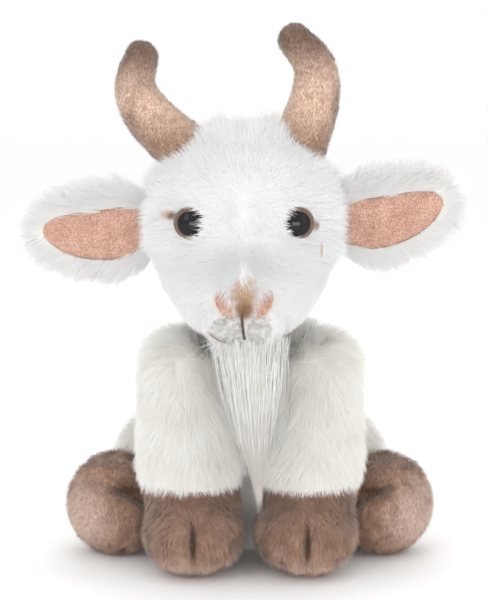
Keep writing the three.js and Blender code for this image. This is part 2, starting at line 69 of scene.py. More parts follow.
# Head: skull, cheeks, muzzle and lips are ellipsoids (middle, radii) that run into each other.
SKULL = ((0, -42, 168), (41.5, 38.5, 42.5))
CHEEKS = ((0, -50, 144), (38.5, 27.5, 24.5))
MUZZLE = ((0, -72, 138), (31, 31.5, 22))
LIP = ((7.5, -95, 124), (9.5, 9, 8))
HEAD_BLEND = 14
SOCKET_DEPTH = 2.2
SOCKET_REACH = 10.0
# The line down the bridge where the fur of the face parts.
PARTING = ((0.0, -101.0, 146.0), (0.0, -80.0, 176.0))
NOSTRIL = (8.0, 136.0)  # middle, across and up
NOSTRIL_HALF = (6.8, 3.4)  # along its slant and across it
NOSTRIL_SLANT = (0.5, 0.87)
# Middles and radii of the short pile on the lips, as seen from the front.
LIP_PATCHES = (((-7.4, 124.0), (7.6, 6.3)), ((6.2, 124.2), (5.6, 6.2)))
MUZZLE_FRONT = -84  # the short pile of nose and lips lies before this depth
MOUTH = [(-1.0, 132.5), (-0.9, 128), (-0.4, 123.5), (0.2, 119.5), (0.4, 117)]
SMILE = [(-7.0, 117.6), (-10.0, 118.2), (-13.0, 119.6), (-15.5, 121.6)]
# Stitches: radius of the floss, and the length of one turn of its plies.
MOUTH_PLY = (0.62, 2.6)
SMILE_PLY = (0.32, 2.0)
TOE_PLY = (0.45, 2.0)
STITCH_LIFT = 1.5  # of the mouth's stitches over the face

# Torso: seat, chest and haunches.
SEAT = ((0, 0, 42), (43, 41, 49))
CHEST = ((0, -16, 82), (38, 31, 33))
TORSO_BLEND = 18
NECK_RING = (98, 108)  # the heights between which the torso's fur grows longer

# Legs.
SHOULDER = (32.5, -46, 91)
SHOULDER_RADIUS = 19
WRIST = (29, -57, 46)
WRIST_RADIUS = 22.5
FORE_HOOF = ((27, -66, 20), (23, 27.5, 21.5))
FORE_ANKLE = 43.0
SOLE_LIFT = 8.0
THIGH = ((46, -2, 33), (22.5, 22.5, 33.5))
SHIN_RADIUS = 17.5
HIND_HOOF = (67, -31, 25)
HIND_HOOF_RADIUS = 23.5
HIND_HOOF_LENGTH = 21.5
HIND_ANKLE_BACK = 9.0
HIND_SOLE_OUT = 11.0
LEG_BLEND = 10
# The hind hooves' fold, as directions from the hoof's middle.
HIND_CREASE = ((0.15, -0.75, 0.62), (-0.3, -0.8, 0.42), (-0.85, -0.5, -0.08))
CREASE_DEPTH = 4.5
CREASE_WIDTH = 2.8
FLOOR_GAP = 0.3
FLOOR_SOFTNESS = 3.0

# Ears.
EAR_LENGTH = 61.5
EAR_HALF_WIDTH = 21.5
EAR_CUP = 9.0
EAR_WALL = 3.6
EAR_SWEEP = 6
EAR_RISE = {"left": -3, "right": 13}
EAR_ROOT = (44.4, -31, 165)
LINING_START = 0.5
LINING_LENGTH = 54.0
LINING_HALF_WIDTH = 12.5
LINING_DROP = 3.0

# Horns.
HORN_ROOT = (25, -34, 199)
HORN_BASE = 15
HORN_TIP = 7.8
HORN_BOW = 10
HORN_CURL = 1
HORN_BACK = 6
HORN_LEAN = {"left": 28, "right": 0}
HORN_RISE = {"left": 55, "right": 57}
HORN_FUR_FROM = 196  # height from which the pile shows over the fur of the head

# Eyes.
EYE_RADIUS = 7.9
EYE_HEIGHT = 5.8
PUPIL_RADIUS = 5.9
PUPIL_SHIFT = 1.4  # towards the nose
EYE_SIDES = 52

# Beard and tail.
BEARD_ROOT = (2.5, -90, 116)
BEARD_TIP = (6.5, -95, 48)
BEARD_STRANDS = 15000
BEARD_LEVELS = 8
BEARD_HALF_WIDTH = 15.0
BEARD_TIP_HALF_WIDTH = 1.7
TAIL_RADII = (7.4, 6.4)


def eye_place(name):
    """The middle of an eye's base on the skin, and its axis, measured on the frame's own eye."""
    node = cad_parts["eye_" + name]
    co = np.array([v.co for v in node.data.vertices], float) / MM
    mean = co.mean(0)
    values, vectors = np.linalg.eigh(np.cov((co - mean).T))
    gaps = np.abs(values[:, None] - values[None]).sum(1)
    axis = vectors[:, gaps.argmax()]
    axis = axis * np.sign(axis @ np.array((0.3 * SIDES[name], -1.0, 0.1)))
    along = (co - mean) @ axis
    return mean + axis * (along.max() - EYE_HEIGHT), axis


EYES = {name: eye_place(name) for name in SIDES}

# ---- Numbers and noise ---------------------------------------------------------------------------


DOWN = np.array((0.0, 0.0, -1.0))


def unit(v):
    return v / np.maximum(np.linalg.norm(v, axis=-1, keepdims=True), 1e-9)


def dot(a, b):
    return (a * b).sum(-1, keepdims=True)


def smoothstep(low, high, x):
    t = np.clip((x - low) / (high - low), 0, 1)
    return t * t * (3 - 2 * t)


def ripple(points, size, seed):
    """Smooth vector noise from sine waves of about that wavelength, in -1 to 1."""
    rng = np.random.default_rng(seed)
    total = np.zeros_like(points)
    for octave in range(6):
        wave = unit(rng.normal(size=(3, 3))) * (2 * math.pi / size) * rng.uniform(0.6, 1.9, (3, 1))
        total += np.sin(points @ wave.T + rng.uniform(0, 2 * math.pi, 3))
    return total / 3.5


# ---- Shapes as distance functions, negative inside -----------------------------------------------


def ellipsoid(centre, radii):
    centre, radii = np.array(centre, float), np.array(radii, float)

    def shape(p):
        q = (p - centre) / radii
        scaled = np.linalg.norm(q, axis=1)
        return scaled * (scaled - 1) / (np.linalg.norm(q / radii, axis=1) + 1e-9)

    return shape


def round_cone(a, b, radius_a, radius_b):
    a, b = np.array(a, float), np.array(b, float)
    along = b - a

    def shape(p):
        t = np.clip((p - a) @ along / (along @ along), 0, 1)[:, None]
        return np.linalg.norm(p - (a + along * t), axis=1) - (radius_a + (radius_b - radius_a) * t[:, 0])

    return shape


def blend(width, *shapes):
    def shape(p):
        total = shapes[0](p)
        for other in shapes[1:]:
            d = other(p)
            share = np.maximum(width - np.abs(total - d), 0) / width
            total = np.minimum(total, d) - share * share * width / 4
        return total

    return shape


def on_floor(shape):
    """A shape flattened where it rests on the floor."""
    return lambda p: blend_max(shape(p), FLOOR_GAP - p[:, 2], FLOOR_SOFTNESS)


def blend_max(a, b, width):
    share = np.maximum(width - np.abs(a - b), 0) / width
    return np.maximum(a, b) + share * share * width / 4


def shifted(part, x=0.0):
    (cx, cy, cz), radii = part
    return ellipsoid((cx + x, cy, cz), radii)


# ---- Surfaces ------------------------------------------------------------------------------------


class Surface:
    """Triangles of a skin, in millimetres, with vertex normals."""

    def __init__(self, vertices, triangles):
        self.vertices = vertices
        self.triangles = triangles
        a, b, c = (vertices[triangles[:, i]] for i in range(3))
        face = np.cross(b - a, c - a)
        self.area = np.linalg.norm(face, axis=1) / 2
        normals = np.zeros_like(vertices)
        for i in range(3):
            np.add.at(normals, triangles[:, i], face)
        self.normals = unit(normals)

    def scatter(self, count, rng, weight=None):
        """Random points with their normals. weight, from 0 to 1, thins them out."""
        share = self.area / self.area.sum()
        pick = rng.choice(len(share), count, p=share)
        r = np.sqrt(rng.random((count, 1)))
        s = rng.random((count, 1))
        parts = (1 - r, r * (1 - s), r * s)
        corners = self.triangles[pick]
        points = sum(w * self.vertices[corners[:, i]] for i, w in enumerate(parts))
        normals = unit(sum(w * self.normals[corners[:, i]] for i, w in enumerate(parts)))
        if weight is not None:
            keep = rng.random(count) < weight(points)
            points, normals = points[keep], normals[keep]
        return points, normals


BLOB_STEP = 2.0
BLOB_HALVINGS = 14


def blob(shape, centre, fineness=5, reach=130.0):
    """The surface of a shape that can all be seen from its centre."""
    bpy.ops.mesh.primitive_ico_sphere_add(subdivisions=fineness, radius=1)
    ball = bpy.context.object
    me = ball.data
    directions = np.zeros(len(me.vertices) * 3)
    me.vertices.foreach_get("co", directions)
    directions = unit(directions.reshape(-1, 3))
    triangles = np.zeros(len(me.polygons) * 3, int)
    me.polygons.foreach_get("vertices", triangles)
    bpy.data.objects.remove(ball)
    bpy.data.meshes.remove(me)
    centre = np.array(centre, float)
    near = np.zeros(len(directions))
    far = np.full(len(directions), reach)
    found = np.zeros(len(directions), bool)
    for distance in np.arange(BLOB_STEP, reach, BLOB_STEP):
        outside = shape(centre + directions * distance) > 0
        first = outside & ~found
        far[first] = distance
        near[first] = distance - BLOB_STEP
        found |= outside
    for _ in range(BLOB_HALVINGS):
        half = (near + far) / 2
        outside = shape(centre + directions * half[:, None]) > 0
        far = np.where(outside, half, far)
        near = np.where(outside, near, half)
    return Surface(centre + directions * far[:, None], triangles.reshape(-1, 3))


def cut(surface, keep):
    """The triangles of a surface whose middles are kept."""
    middles = surface.vertices[surface.triangles].mean(1)
    piece = Surface.__new__(Surface)
    piece.vertices, piece.normals = surface.vertices, surface.normals
    chosen = keep(middles)
    piece.triangles, piece.area = surface.triangles[chosen], surface.area[chosen]
    return piece


def grid_surface(points, closed):
    """A surface from rows of points. closed joins the last column to the first."""
    rows, columns = points.shape[:2]
    index = np.arange(rows * columns).reshape(rows, columns)
    if closed:
        index = np.concatenate([index, index[:, :1]], 1)
    a, b, c, d = index[:-1, :-1], index[:-1, 1:], index[1:, :-1], index[1:, 1:]
    first = np.stack([a, b, c], -1).reshape(-1, 3)
    second = np.stack([b, d, c], -1).reshape(-1, 3)
    return Surface(points.reshape(-1, 3), np.concatenate([first, second]))


def turned_out(surface, centre):
    """The same surface with its outside away from the centre."""
    if dot(surface.normals, surface.vertices - centre).mean() > 0:
        return surface
    return Surface(surface.vertices, surface.triangles[:, ::-1])


# ---- Objects -------------------------------------------------------------------------------------


def new_mesh(name, vertices, quads, triangles):
    me = bpy.data.meshes.new(name)
    me.vertices.add(len(vertices))
    me.vertices.foreach_set("co", (vertices * MM).astype(np.float32).ravel())
    corners = np.concatenate([quads.ravel(), triangles.ravel()]).astype(np.int32)
    me.loops.add(len(corners))
    me.loops.foreach_set("vertex_index", corners)
    starts = [np.arange(len(quads)) * 4, len(quads) * 4 + np.arange(len(triangles)) * 3]
    starts = np.concatenate(starts).astype(np.int32)
    me.polygons.add(len(starts))
    me.polygons.foreach_set("loop_start", starts)
    me.polygons.foreach_set("use_smooth", np.ones(len(starts), bool))
    me.update(calc_edges=True)
    return me


def put(name, me, body, material, replaced=()):
    """Adds a mesh to the scene as a piece of a body."""
    piece = bpy.data.objects.new(name, me)
    bpy.context.scene.collection.objects.link(piece)
    me.materials.append(material)
    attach(piece, body)
    if replaced:
        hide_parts(*replaced)
    return piece


NO_QUADS = np.zeros((0, 4), int)
MOST_TRIANGLES = 200000  # that one piece of fur may have; more are shared out over several pieces
ROOT_DEPTH = 0.4
LOWEST_HAIR = 0.35
# Each strand's own spot in the bake's map: its width and height, and how the spots are spread over the map.
SPOT_WIDTH = 0.0022
SPOT_HEIGHT = 0.006
MAP_SHARE = 0.985
MAP_MARGIN = 0.003


def put_skin(name, surface, body, material, replaced=()):
    used, index = np.unique(surface.triangles, return_inverse=True)
    me = new_mesh(name, surface.vertices[used], NO_QUADS, index.reshape(-1, 3))
    return put(name, me, body, material, replaced)


def strand_mesh(name, lines, sides, widths, shading, spots):
    """Ribbons along lines of points, each ending in a tip. spots place each ribbon in the bake's map."""
    count, levels = lines.shape[:2]
    profile = np.linspace(1, 0.25, levels - 1) ** 0.8
    half = sides[:, None] * (widths[:, None] * profile / 2)[..., None]
    left = lines[:, :-1] - half
    right = lines[:, :-1] + half
    vertices = np.concatenate([left, right, lines[:, -1:]], 1)
    each = 2 * (levels - 1) + 1
    base = np.arange(count)[:, None] * each
    rungs = np.arange(levels - 2)
    quad = np.stack([rungs, rungs + 1, rungs + levels, rungs + levels - 1], -1)
    quads = (base[..., None] + quad[None]).reshape(-1, 4)
    tip = np.array([levels - 2, each - 1, 2 * levels - 3])
    triangles = base + tip[None]
    me = new_mesh(name, vertices.reshape(-1, 3), quads, triangles)
    rise = np.linspace(0, SPOT_HEIGHT, levels)
    u = np.concatenate([np.zeros(levels - 1), np.full(levels - 1, SPOT_WIDTH), [SPOT_WIDTH / 2]])
    v = np.concatenate([rise[:-1], rise[:-1], rise[-1:]])
    place = spots[:, None] * MAP_SHARE + MAP_MARGIN + np.stack([u, v], -1)[None]
    corners = np.concatenate([quads.ravel(), triangles.ravel()])
    layer = me.uv_layers.new(name="OFBake")
    layer.data.foreach_set("uv", place.reshape(-1, 2)[corners].astype(np.float32).ravel())
    me.normals_split_custom_set_from_vertices(np.repeat(shading, each, 0))
    return me


def nearest(points, centres):
    """The index of the centre nearest to each point."""
    found = np.zeros(len(points), int)
    for start in range(0, len(points), 4000):
        part = points[start : start + 4000]
        distance = (centres**2).sum(1)[None] - 2 * part @ centres.T
        found[start : start + 4000] = distance.argmin(1)
    return found


def grow(name, body, slot, material, surface, density, length, comb, seed, width=0.34, lift=0.5, levels=5,
         droop=0.0, stray=0.16, tousle=0.25, clump=7.0, pull=0.45, weight=None, facing=(0, 0, 0)):
    """Fur on a surface. density is strands to the square millimetre, length a number or a function of the
    roots, comb a function that gives the way the fur lies, clump how many strands lean together, and
    facing turns the strands' shading that way."""
    rng = np.random.default_rng(seed)
    count = int(surface.area.sum() * density)
    roots, normals = surface.scatter(count, rng, weight)
    count = len(roots)
    flow = comb(roots, normals)
    flow = flow + tousle * ripple(roots, 13, seed + 1) + tousle * 0.6 * ripple(roots, 5, seed + 2)
    flow = flow + stray * rng.normal(size=flow.shape)
    flow = unit(flow - normals * dot(flow, normals))
    lengths = np.broadcast_to(length(roots) if callable(length) else length, count)
    lengths = lengths * rng.uniform(0.72, 1.12, count) * (1 + 0.12 * ripple(roots, 8, seed + 3)[:, 0])
    lifts = (lift(roots) if callable(lift) else lift) * rng.uniform(0.7, 1.35, count)
    lifts = np.broadcast_to(lifts, count)[:, None]
    lines = np.zeros((count, levels, 3))
    lines[:, 0] = roots - normals * ROOT_DEPTH
    step = (lengths / (levels - 1))[:, None]
    for level in range(1, levels):
        t = (level - 0.5) / (levels - 1)
        heading = normals * lifts * (1.25 - 0.9 * t) + flow + DOWN * droop * t
        lines[:, level] = lines[:, level - 1] + unit(heading) * step
    leaders = rng.choice(count, max(count // int(clump), 1), replace=False)
    leader = leaders[nearest(roots, roots[leaders])]
    share = (np.linspace(0, 1, levels) ** 1.4)[None, :, None] * pull
    share = share * rng.uniform(0.4, 1.3, (count, 1, 1))
    lines += (lines[leader] - lines) * share
    lines[..., 2] = np.maximum(lines[..., 2], LOWEST_HAIR)
    ahead = unit(lines[:, -1] - lines[:, 0])
    face = unit(normals + np.array(facing, float))
    across = unit(np.cross(face, ahead))
    turn = rng.normal(0, 0.3, (count, 1))
    sides = unit(across * np.cos(turn) + face * np.sin(turn))
    widths = width * rng.uniform(0.7, 1.25, count)
    shading = unit(face - ahead * dot(face, ahead) * 0.8)
    low, high = roots.min(0), roots.max(0)
    centre = (low + high) / 2
    azimuth = np.arctan2(roots[:, 1] - centre[1], roots[:, 0] - centre[0]) / (2 * math.pi) + 0.5
    height = (roots[:, 2] - low[2]) / (high[2] - low[2])
    spots = np.stack([azimuth, height], -1)
    triangles = count * (2 * (levels - 2) + 1)
    parts = max(1, math.ceil(triangles / MOST_TRIANGLES))
    order = np.argsort(azimuth, kind="stable")
    for part in range(parts):
        pick = order[part * count // parts : (part + 1) * count // parts]
        label = name if parts == 1 else f"{name}_{part + 1}"
        own = spots[pick]
        own = (own - own.min(0)) / np.maximum(np.ptp(own, axis=0), 1e-6)
        me = strand_mesh(label, lines[pick], sides[pick], widths[pick], shading[pick], own)
        put(label, me, body, material)


# ---- Materials -----------------------------------------------------------------------------------


class Graph:
    """The shader nodes of a new material, and short ways to add the kinds that are used here."""

    def __init__(self, name):
        self.material = bpy.data.materials.new(name)
        self.material.use_nodes = True
        self.shader = self.material.node_tree.nodes["Principled BSDF"]

    def feed(self, node, inputs):
        """Links each input that is given a socket, and sets each that is given a value."""
        for key, value in inputs.items():
            if isinstance(value, bpy.types.NodeSocket):
                self.material.node_tree.links.new(value, node.inputs[key])
            else:
                node.inputs[key].default_value = value
        return node

    def add(self, kind, inputs):
        return self.feed(self.material.node_tree.nodes.new("ShaderNode" + kind), inputs)

    def place(self):
        """Where on the object a point is."""
        return self.add("TexCoord", {}).outputs["Object"]

    def noise(self, size, detail=2):
        """Noise with grains of about that size in millimetres."""
        inputs = {"Vector": self.place(), "Scale": 1 / (size * MM), "Detail": detail}
        return self.add("TexNoise", inputs).outputs["Fac"]

    def mapped(self, scale, middle_point=(0, 0, 0)):
        """The place measured from a middle, in units of a scale. Both are in millimetres."""
        mapping = self.add("Mapping", {"Vector": self.place()})
        mapping.vector_type = "TEXTURE"
        self.feed(mapping, {"Location": [c * MM for c in middle_point], "Scale": [c * MM for c in scale]})
        return mapping.outputs["Vector"]

    def number(self, operation, *values):
        """Arithmetic on numbers."""
        node = self.add("Math", dict(enumerate(values)))
        node.operation = operation
        return node.outputs["Value"]

    def vector(self, operation, *values):
        """Arithmetic on vectors."""
        node = self.add("VectorMath", dict(enumerate(values)))
        node.operation = operation
        return node.outputs["Value" if operation == "LENGTH" else "Vector"]

    def ranged(self, value, start=(0, 1), end=(0, 1), kind="LINEAR"):
        """A value brought from one range to another."""
        node = self.add("MapRange", {"Value": value, "From Min": start[0], "From Max": start[1]})
        node.interpolation_type = kind
        return self.feed(node, {"To Min": end[0], "To Max": end[1]}).outputs["Result"]

    def ramp(self, value, *stops):
        """The colour that goes with a value, between stops of position and colour."""
        node = self.add("ValToRGB", {"Fac": value})
        for element, (position, colour) in zip(node.color_ramp.elements, stops):
            element.position = position
            element.color = (*colour, 1)
        return node.outputs["Color"]

    def over(self, under, colour, share):
        """A colour laid over another where share is 1."""
        node = self.add("Mix", {})
        node.data_type = "RGBA"
        return self.feed(node, {"Factor": share, "A": under, "B": (*colour, 1)}).outputs["Result"]


# Sizes of grain, depth of relief, and how far the edge of a tint along Z wanders, all in millimetres.
FINE_GRAIN = 0.9
RAGGED_GRAIN = 2.5
WAVER_GRAIN = 5
RELIEF_DEPTH = 0.4
WAVER = 10


def streaks(graph, colour, width, length):
    """Hairs lighter and darker than the colour, upright streaks of that width and length in millimetres."""
    hairs = graph.add("TexNoise", {"Vector": graph.mapped((width, width, length)), "Scale": 1, "Detail": 1})
    share = graph.ranged(hairs.outputs["Fac"], (0.3, 0.7), (0.66, 1.3))
    return graph.vector("MULTIPLY", colour, share)


def pile(name, dark, light, size=6.0, roughness=(0.6, 0.85), sheen=0.25, bump=0.15, tint=None, streak=None):
    """Fabric pile whose colour drifts between two tones. size is that of the drift, in millimetres. tint
    lays colours over it, airbrushed marks and painted shade alike, and streak is the width and length
    of hairs of other tones."""
    graph = Graph(name)
    colour = graph.ramp(graph.noise(size, 4), (0.32, dark), (0.68, light))
    if tint is not None:
        colour = tint(graph, colour)
    if streak is not None:
        colour = streaks(graph, colour, *streak)
    fine = graph.noise(FINE_GRAIN)
    inputs = {
        "Base Color": colour,
        "Roughness": graph.ranged(fine, end=roughness),
        "Sheen Weight": sheen,
        "Sheen Roughness": 0.5,
        "Specular IOR Level": 0.25,
    }
    if bump:
        relief = graph.add("Bump", {"Height": fine, "Strength": bump, "Distance": RELIEF_DEPTH * MM})
        inputs["Normal"] = relief.outputs["Normal"]
    graph.feed(graph.shader, inputs)
    return graph.material


def near_point(point, reach, colour, ragged_by=0.6):
    """A colour laid round a point, for airbrushed marks and for painted shade. reach is the radius along
    X, Y and Z at which it fades out.
    """

    def tint(graph, under):
        far = graph.vector("LENGTH", graph.mapped(reach, point))
        ragged = graph.number("MULTIPLY_ADD", graph.noise(RAGGED_GRAIN), ragged_by, far)
        fade = graph.ranged(ragged, (1.0 + ragged_by / 2, 0.3 + ragged_by / 2), kind="SMOOTHSTEP")
        return graph.over(under, colour, fade)

    return tint


def several(*tints):
    def tint(graph, colour):
        for each in tints:
            colour = each(graph, colour)
        return colour

    return tint


def along_z(low, high, colour, strength=1.0):
    """A colour that comes in between two heights, for airbrushed tones and for painted shade."""

    def tint(graph, under):
        up = graph.add("SeparateXYZ", {"Vector": graph.place()}).outputs["Z"]
        shifted_up = graph.number("MULTIPLY_ADD", graph.noise(WAVER_GRAIN), WAVER * MM, up)
        heights = ((low + WAVER / 2) * MM, (high + WAVER / 2) * MM)
        fade = graph.ranged(shifted_up, heights, (0, strength), "SMOOTHSTEP")
        return graph.over(under, colour, fade)

    return tint


BRIDGE_TAN = (0.56, 0.37, 0.24)
BRIDGE_BROWN = (0.34, 0.19, 0.11)
CORNER_BROWN = (0.2, 0.09, 0.035)
CHEEK_TAN = (0.7, 0.58, 0.47)
# Grey over the front of the face, darker than the head fur's white: painted shade.
MUZZLE_PAINTED_SHADE = (0.76, 0.76, 0.76)
nose_tint = several(
    near_point((HEAD_X + 0.2, -103, 139), (8.0, 13, 12), BRIDGE_TAN),
    near_point((HEAD_X + 0.2, -103, 132.5), (5.5, 13, 6.5), BRIDGE_BROWN),
)
left_corner = EYES["left"][0] - (EYE_RADIUS, 0, 0)
right_corner = EYES["right"][0] + (EYE_RADIUS, 0, 0)
face_tint = several(
    # painted shade over the front of the face
    near_point((HEAD_X, -100, 145), (36, 26, 30), MUZZLE_PAINTED_SHADE, 0.1),
    nose_tint,
    near_point((HEAD_X - 15, -95, 121.5), (3.5, 9, 2.2), BRIDGE_TAN),
    near_point(left_corner + (-3.5, 2, 3.2), (8.5, 14, 3.8), BRIDGE_TAN),
    near_point(left_corner + (-1.0, 0, 2.8), (6, 14, 3.2), CORNER_BROWN),
    near_point(right_corner + (0.5, 0, -1.5), (3.8, 14, 4), CORNER_BROWN),
    near_point(right_corner + (3.5, 2, -13), (1.0, 11, 5), CHEEK_TAN),
)
backing_tint = several(
    near_point((HEAD_X - 8, -100, 136), (9, 14, 10), (0.6, 0.37, 0.28)),
    near_point((HEAD_X + 8, -100, 136), (9, 14, 10), (0.6, 0.37, 0.28)),
    near_point((HEAD_X - 7, -100, 124), (8, 14, 7), (0.56, 0.55, 0.53)),
    near_point((HEAD_X + 7, -100, 124), (8, 14, 7), (0.56, 0.55, 0.53)),
    near_point((HEAD_X, -103, 133.5), (3.5, 13, 6), BRIDGE_TAN),
)
WHITE = pile("white_fur", (0.83, 0.826, 0.818), (0.87, 0.868, 0.864), size=18, bump=0)
HEAD_WHITE = pile("head_fur", (0.81, 0.812, 0.815), (0.85, 0.852, 0.855), size=18, bump=0,
                  tint=face_tint)
# The face's backing is a grey darker than the fur above it: painted shade of the fur's depths.
SHADED_FACE_BACKING = pile("face_backing_painted_shade", (0.64, 0.636, 0.63), (0.7, 0.7, 0.695), size=3, bump=0.4,
                    tint=backing_tint)
CREAM = pile("body_fur", (0.85, 0.83, 0.785), (0.89, 0.882, 0.862), size=20, bump=0)
UNDER_WHITE = pile("fur_backing", (0.87, 0.84, 0.77), (0.92, 0.905, 0.87), size=3, bump=0.5)
HOOF_DARK = (0.33, 0.19, 0.125)
HOOF_LIGHT = (0.52, 0.335, 0.25)
LIGHT_TAN = (0.66, 0.5, 0.415)
# A darker brown at a hoof's top under the sleeve and round the hind hooves' fold: painted shade.
HOOF_PAINTED_SHADE = (0.25, 0.14, 0.092)
# A near-black brown along the toe creases: painted shade.
HOOF_CREASE_SHADE = (0.13, 0.07, 0.045)
HOOF_HAIRS = (0.45, 4.0)
toe_x, toe_y, toe_z = FORE_HOOF[0]
# The fore hooves' tints: painted shade at the top and along the toe crease, and a lighter tan low down.
hoof_tint = several(
    # painted shade under the sleeve
    along_z(30, 40, HOOF_PAINTED_SHADE, 0.7),
    along_z(14, 3, LIGHT_TAN, 0.8),
    # painted shade along the toe creases
    near_point((toe_x, toe_y - 27, toe_z), (2.4, 16, 15), HOOF_CREASE_SHADE, 0.3),
    near_point((-toe_x, toe_y - 27, toe_z), (2.4, 16, 15), HOOF_CREASE_SHADE, 0.3),
)
BROWN = pile("hoof_pile", HOOF_DARK, HOOF_LIGHT, size=8, sheen=0.5, bump=0, tint=hoof_tint,
             streak=HOOF_HAIRS)
UNDER_BROWN = pile("hoof_backing", (0.24, 0.135, 0.09), (0.36, 0.22, 0.16), size=3, bump=0.5)
SOLE = pile("sole_pile", (0.45, 0.3, 0.23), (0.66, 0.48, 0.39), size=7, sheen=0.5, bump=0)
UNDER_SOLE = pile("sole_backing", (0.36, 0.24, 0.18), (0.5, 0.36, 0.29), size=3, bump=0.5)
PINK = pile("ear_pile", (0.5, 0.285, 0.21), (0.62, 0.39, 0.305), size=9, sheen=0.4, bump=0.2,
            streak=(0.5, 1.0))
NOSE_PINK = pile("nose_pile", (0.44, 0.24, 0.17), (0.65, 0.44, 0.36), size=2.5, sheen=0.4, bump=0.2)
LIP_GREY = pile("lip_pile", (0.42, 0.41, 0.39), (0.76, 0.76, 0.75), size=1.8, sheen=0.4, bump=0.3)
# The hair darkens and warms towards the beard's lower end: painted shade.
HAIR = pile("beard_hair", (0.72, 0.705, 0.675), (0.8, 0.795, 0.785), size=7, roughness=(0.4, 0.55),
            sheen=0.1, bump=0, tint=along_z(92, 52, (0.62, 0.58, 0.53), 0.7))
FLOSS = pile("floss", (0.06, 0.038, 0.026), (0.17, 0.105, 0.07), size=1.5, roughness=(0.5, 0.7),
             sheen=0.1, bump=0.3)
SMILE_FLOSS = pile("smile_floss", (0.26, 0.15, 0.09), (0.42, 0.27, 0.18), size=1.5, roughness=(0.5, 0.7),
                   bump=0.3)
FILL = pile("fibre_fill", (0.86, 0.86, 0.85), (0.95, 0.95, 0.95), size=4, bump=0.5)
POUCH = pile("pellet_pouch", (0.62, 0.6, 0.55), (0.74, 0.72, 0.68), size=2, bump=0.6)
WASHER = pile("washer_plastic", (0.72, 0.72, 0.71), (0.8, 0.8, 0.8), size=8, roughness=(0.3, 0.45),
              sheen=0, bump=0.02)
HORN_SHADE = (0.36, 0.22, 0.15)
HORN_EDGE = (0.36, 0.235, 0.175)
TIP_BROWN = (0.17, 0.105, 0.075)


PUPIL_BLACK = (0.006, 0.006, 0.008)
RIM_BROWN = (0.14, 0.085, 0.06)


def eye_material(centre, axis):
    """Glossy plastic: a black pupil with a brown rim, by the distance from the eye's own axis."""
    graph = Graph("eye_plastic")
    away = graph.vector("SUBTRACT", graph.place(), [c * MM for c in centre])
    far = graph.vector("LENGTH", graph.vector("CROSS_PRODUCT", away, list(axis)))
    grain = graph.noise(1.2)
    wavy = graph.number("MULTIPLY_ADD", grain, 0.5 * MM, far)
    share = graph.number("DIVIDE", wavy, EYE_RADIUS * MM)
    rim = PUPIL_RADIUS / EYE_RADIUS
    colour = graph.ramp(share, (rim, PUPIL_BLACK), (rim + 0.05, RIM_BROWN))
    gloss = graph.ranged(grain, end=(0.03, 0.09))
    graph.feed(graph.shader, {"Base Color": colour, "Roughness": gloss, "Specular IOR Level": 0.3})
    return graph.material


# ---- Torso ---------------------------------------------------------------------------------------


def downwards(points, normals):
    return np.tile((0.0, 0.0, -1.0), (len(points), 1))


torso = blob(on_floor(blend(TORSO_BLEND, shifted(SEAT), shifted(CHEST))), (0, -4, 55))
put_skin("torso_body", torso, "torso", UNDER_WHITE, ["torso_skin"])


def torso_comb(points, normals):
    flow = downwards(points, normals)
    flow[:, 0] += 0.25 * np.sign(points[:, 0]) * smoothstep(0, 20, np.abs(points[:, 0]))
    return flow


def torso_shown(points):
    """Thin where limbs and the floor hide the fur."""
    low = smoothstep(1, 6, points[:, 2])
    return low * (0.6 + 0.4 * smoothstep(112, 104, points[:, 2]))


def torso_length(points):
    return 12 + 5 * smoothstep(*NECK_RING, points[:, 2])


def torso_lift(points):
    """Round the neck the fur stands up to meet the head's."""
    return 0.85 + 2.2 * smoothstep(*NECK_RING, points[:, 2])


grow("torso_fur", "torso", "white_fur", CREAM, torso, 2.4, torso_length, torso_comb, seed=11, width=0.25,
     lift=torso_lift, droop=0.35, levels=4, weight=torso_shown, facing=(0, -0.3, 0))

# ---- Head ----------------------------------------------------------------------------------------


def head_shape():
    lips = [shifted(((side * LIP[0][0], *LIP[0][1:]), LIP[1]), HEAD_X) for side in (-1, 1)]
    solid = blend(HEAD_BLEND, shifted(SKULL, HEAD_X), shifted(CHEEKS, HEAD_X), shifted(MUZZLE, HEAD_X))
    solid = blend(5, solid, *lips)

    def shape(p):
        d = solid(p)
        for centre, _ in EYES.values():
            off = ((p - centre) ** 2).sum(1)
            d = d + SOCKET_DEPTH * np.exp(-off / (2 * SOCKET_REACH**2 / 4))
        return d

    return shape


face_shape = head_shape()
head = blob(face_shape, (HEAD_X, -52, 156), fineness=6)
# The head's skin takes the face backing's painted shade.
put_skin("head_body", head, "head", SHADED_FACE_BACKING, ["head_skin"])
parting = np.array(PARTING) + (HEAD_X, 0, 0)


def from_parting(points):
    """The way and the distance from the nearest point of the parting."""
    along = parting[1] - parting[0]
    share = np.clip((points - parting[0]) @ along / (along @ along), 0, 1)
    off = points - (parting[0] + share[:, None] * along)
    return unit(off), np.linalg.norm(off, axis=1)


def head_comb(points, normals):
    """Fur runs away from the parting: down the bridge, up the forehead and out over the cheeks."""
    flow, far = from_parting(points)
    flow = flow + 1.1 * smoothstep(18, 3, far)[:, None] * np.array((0, -0.5, -1.0))
    low = smoothstep(150, 120, points[:, 2:3])
    back = smoothstep(-60, -25, points[:, 1:2])
    bridge = np.exp(-(((points[:, 0:1] - HEAD_X) / 7) ** 2)) * smoothstep(147, 141, points[:, 2:3])
    flow = flow + (low * 0.8 + back * 0.7 + bridge * 2) * DOWN
    top = smoothstep(192, 206, points[:, 2:3])
    return flow + top * np.array((0.0, 0.5, 0.35))


def eye_distance(points):
    return np.minimum(*(np.linalg.norm(points - centre, axis=1) for centre, _ in EYES.values()))


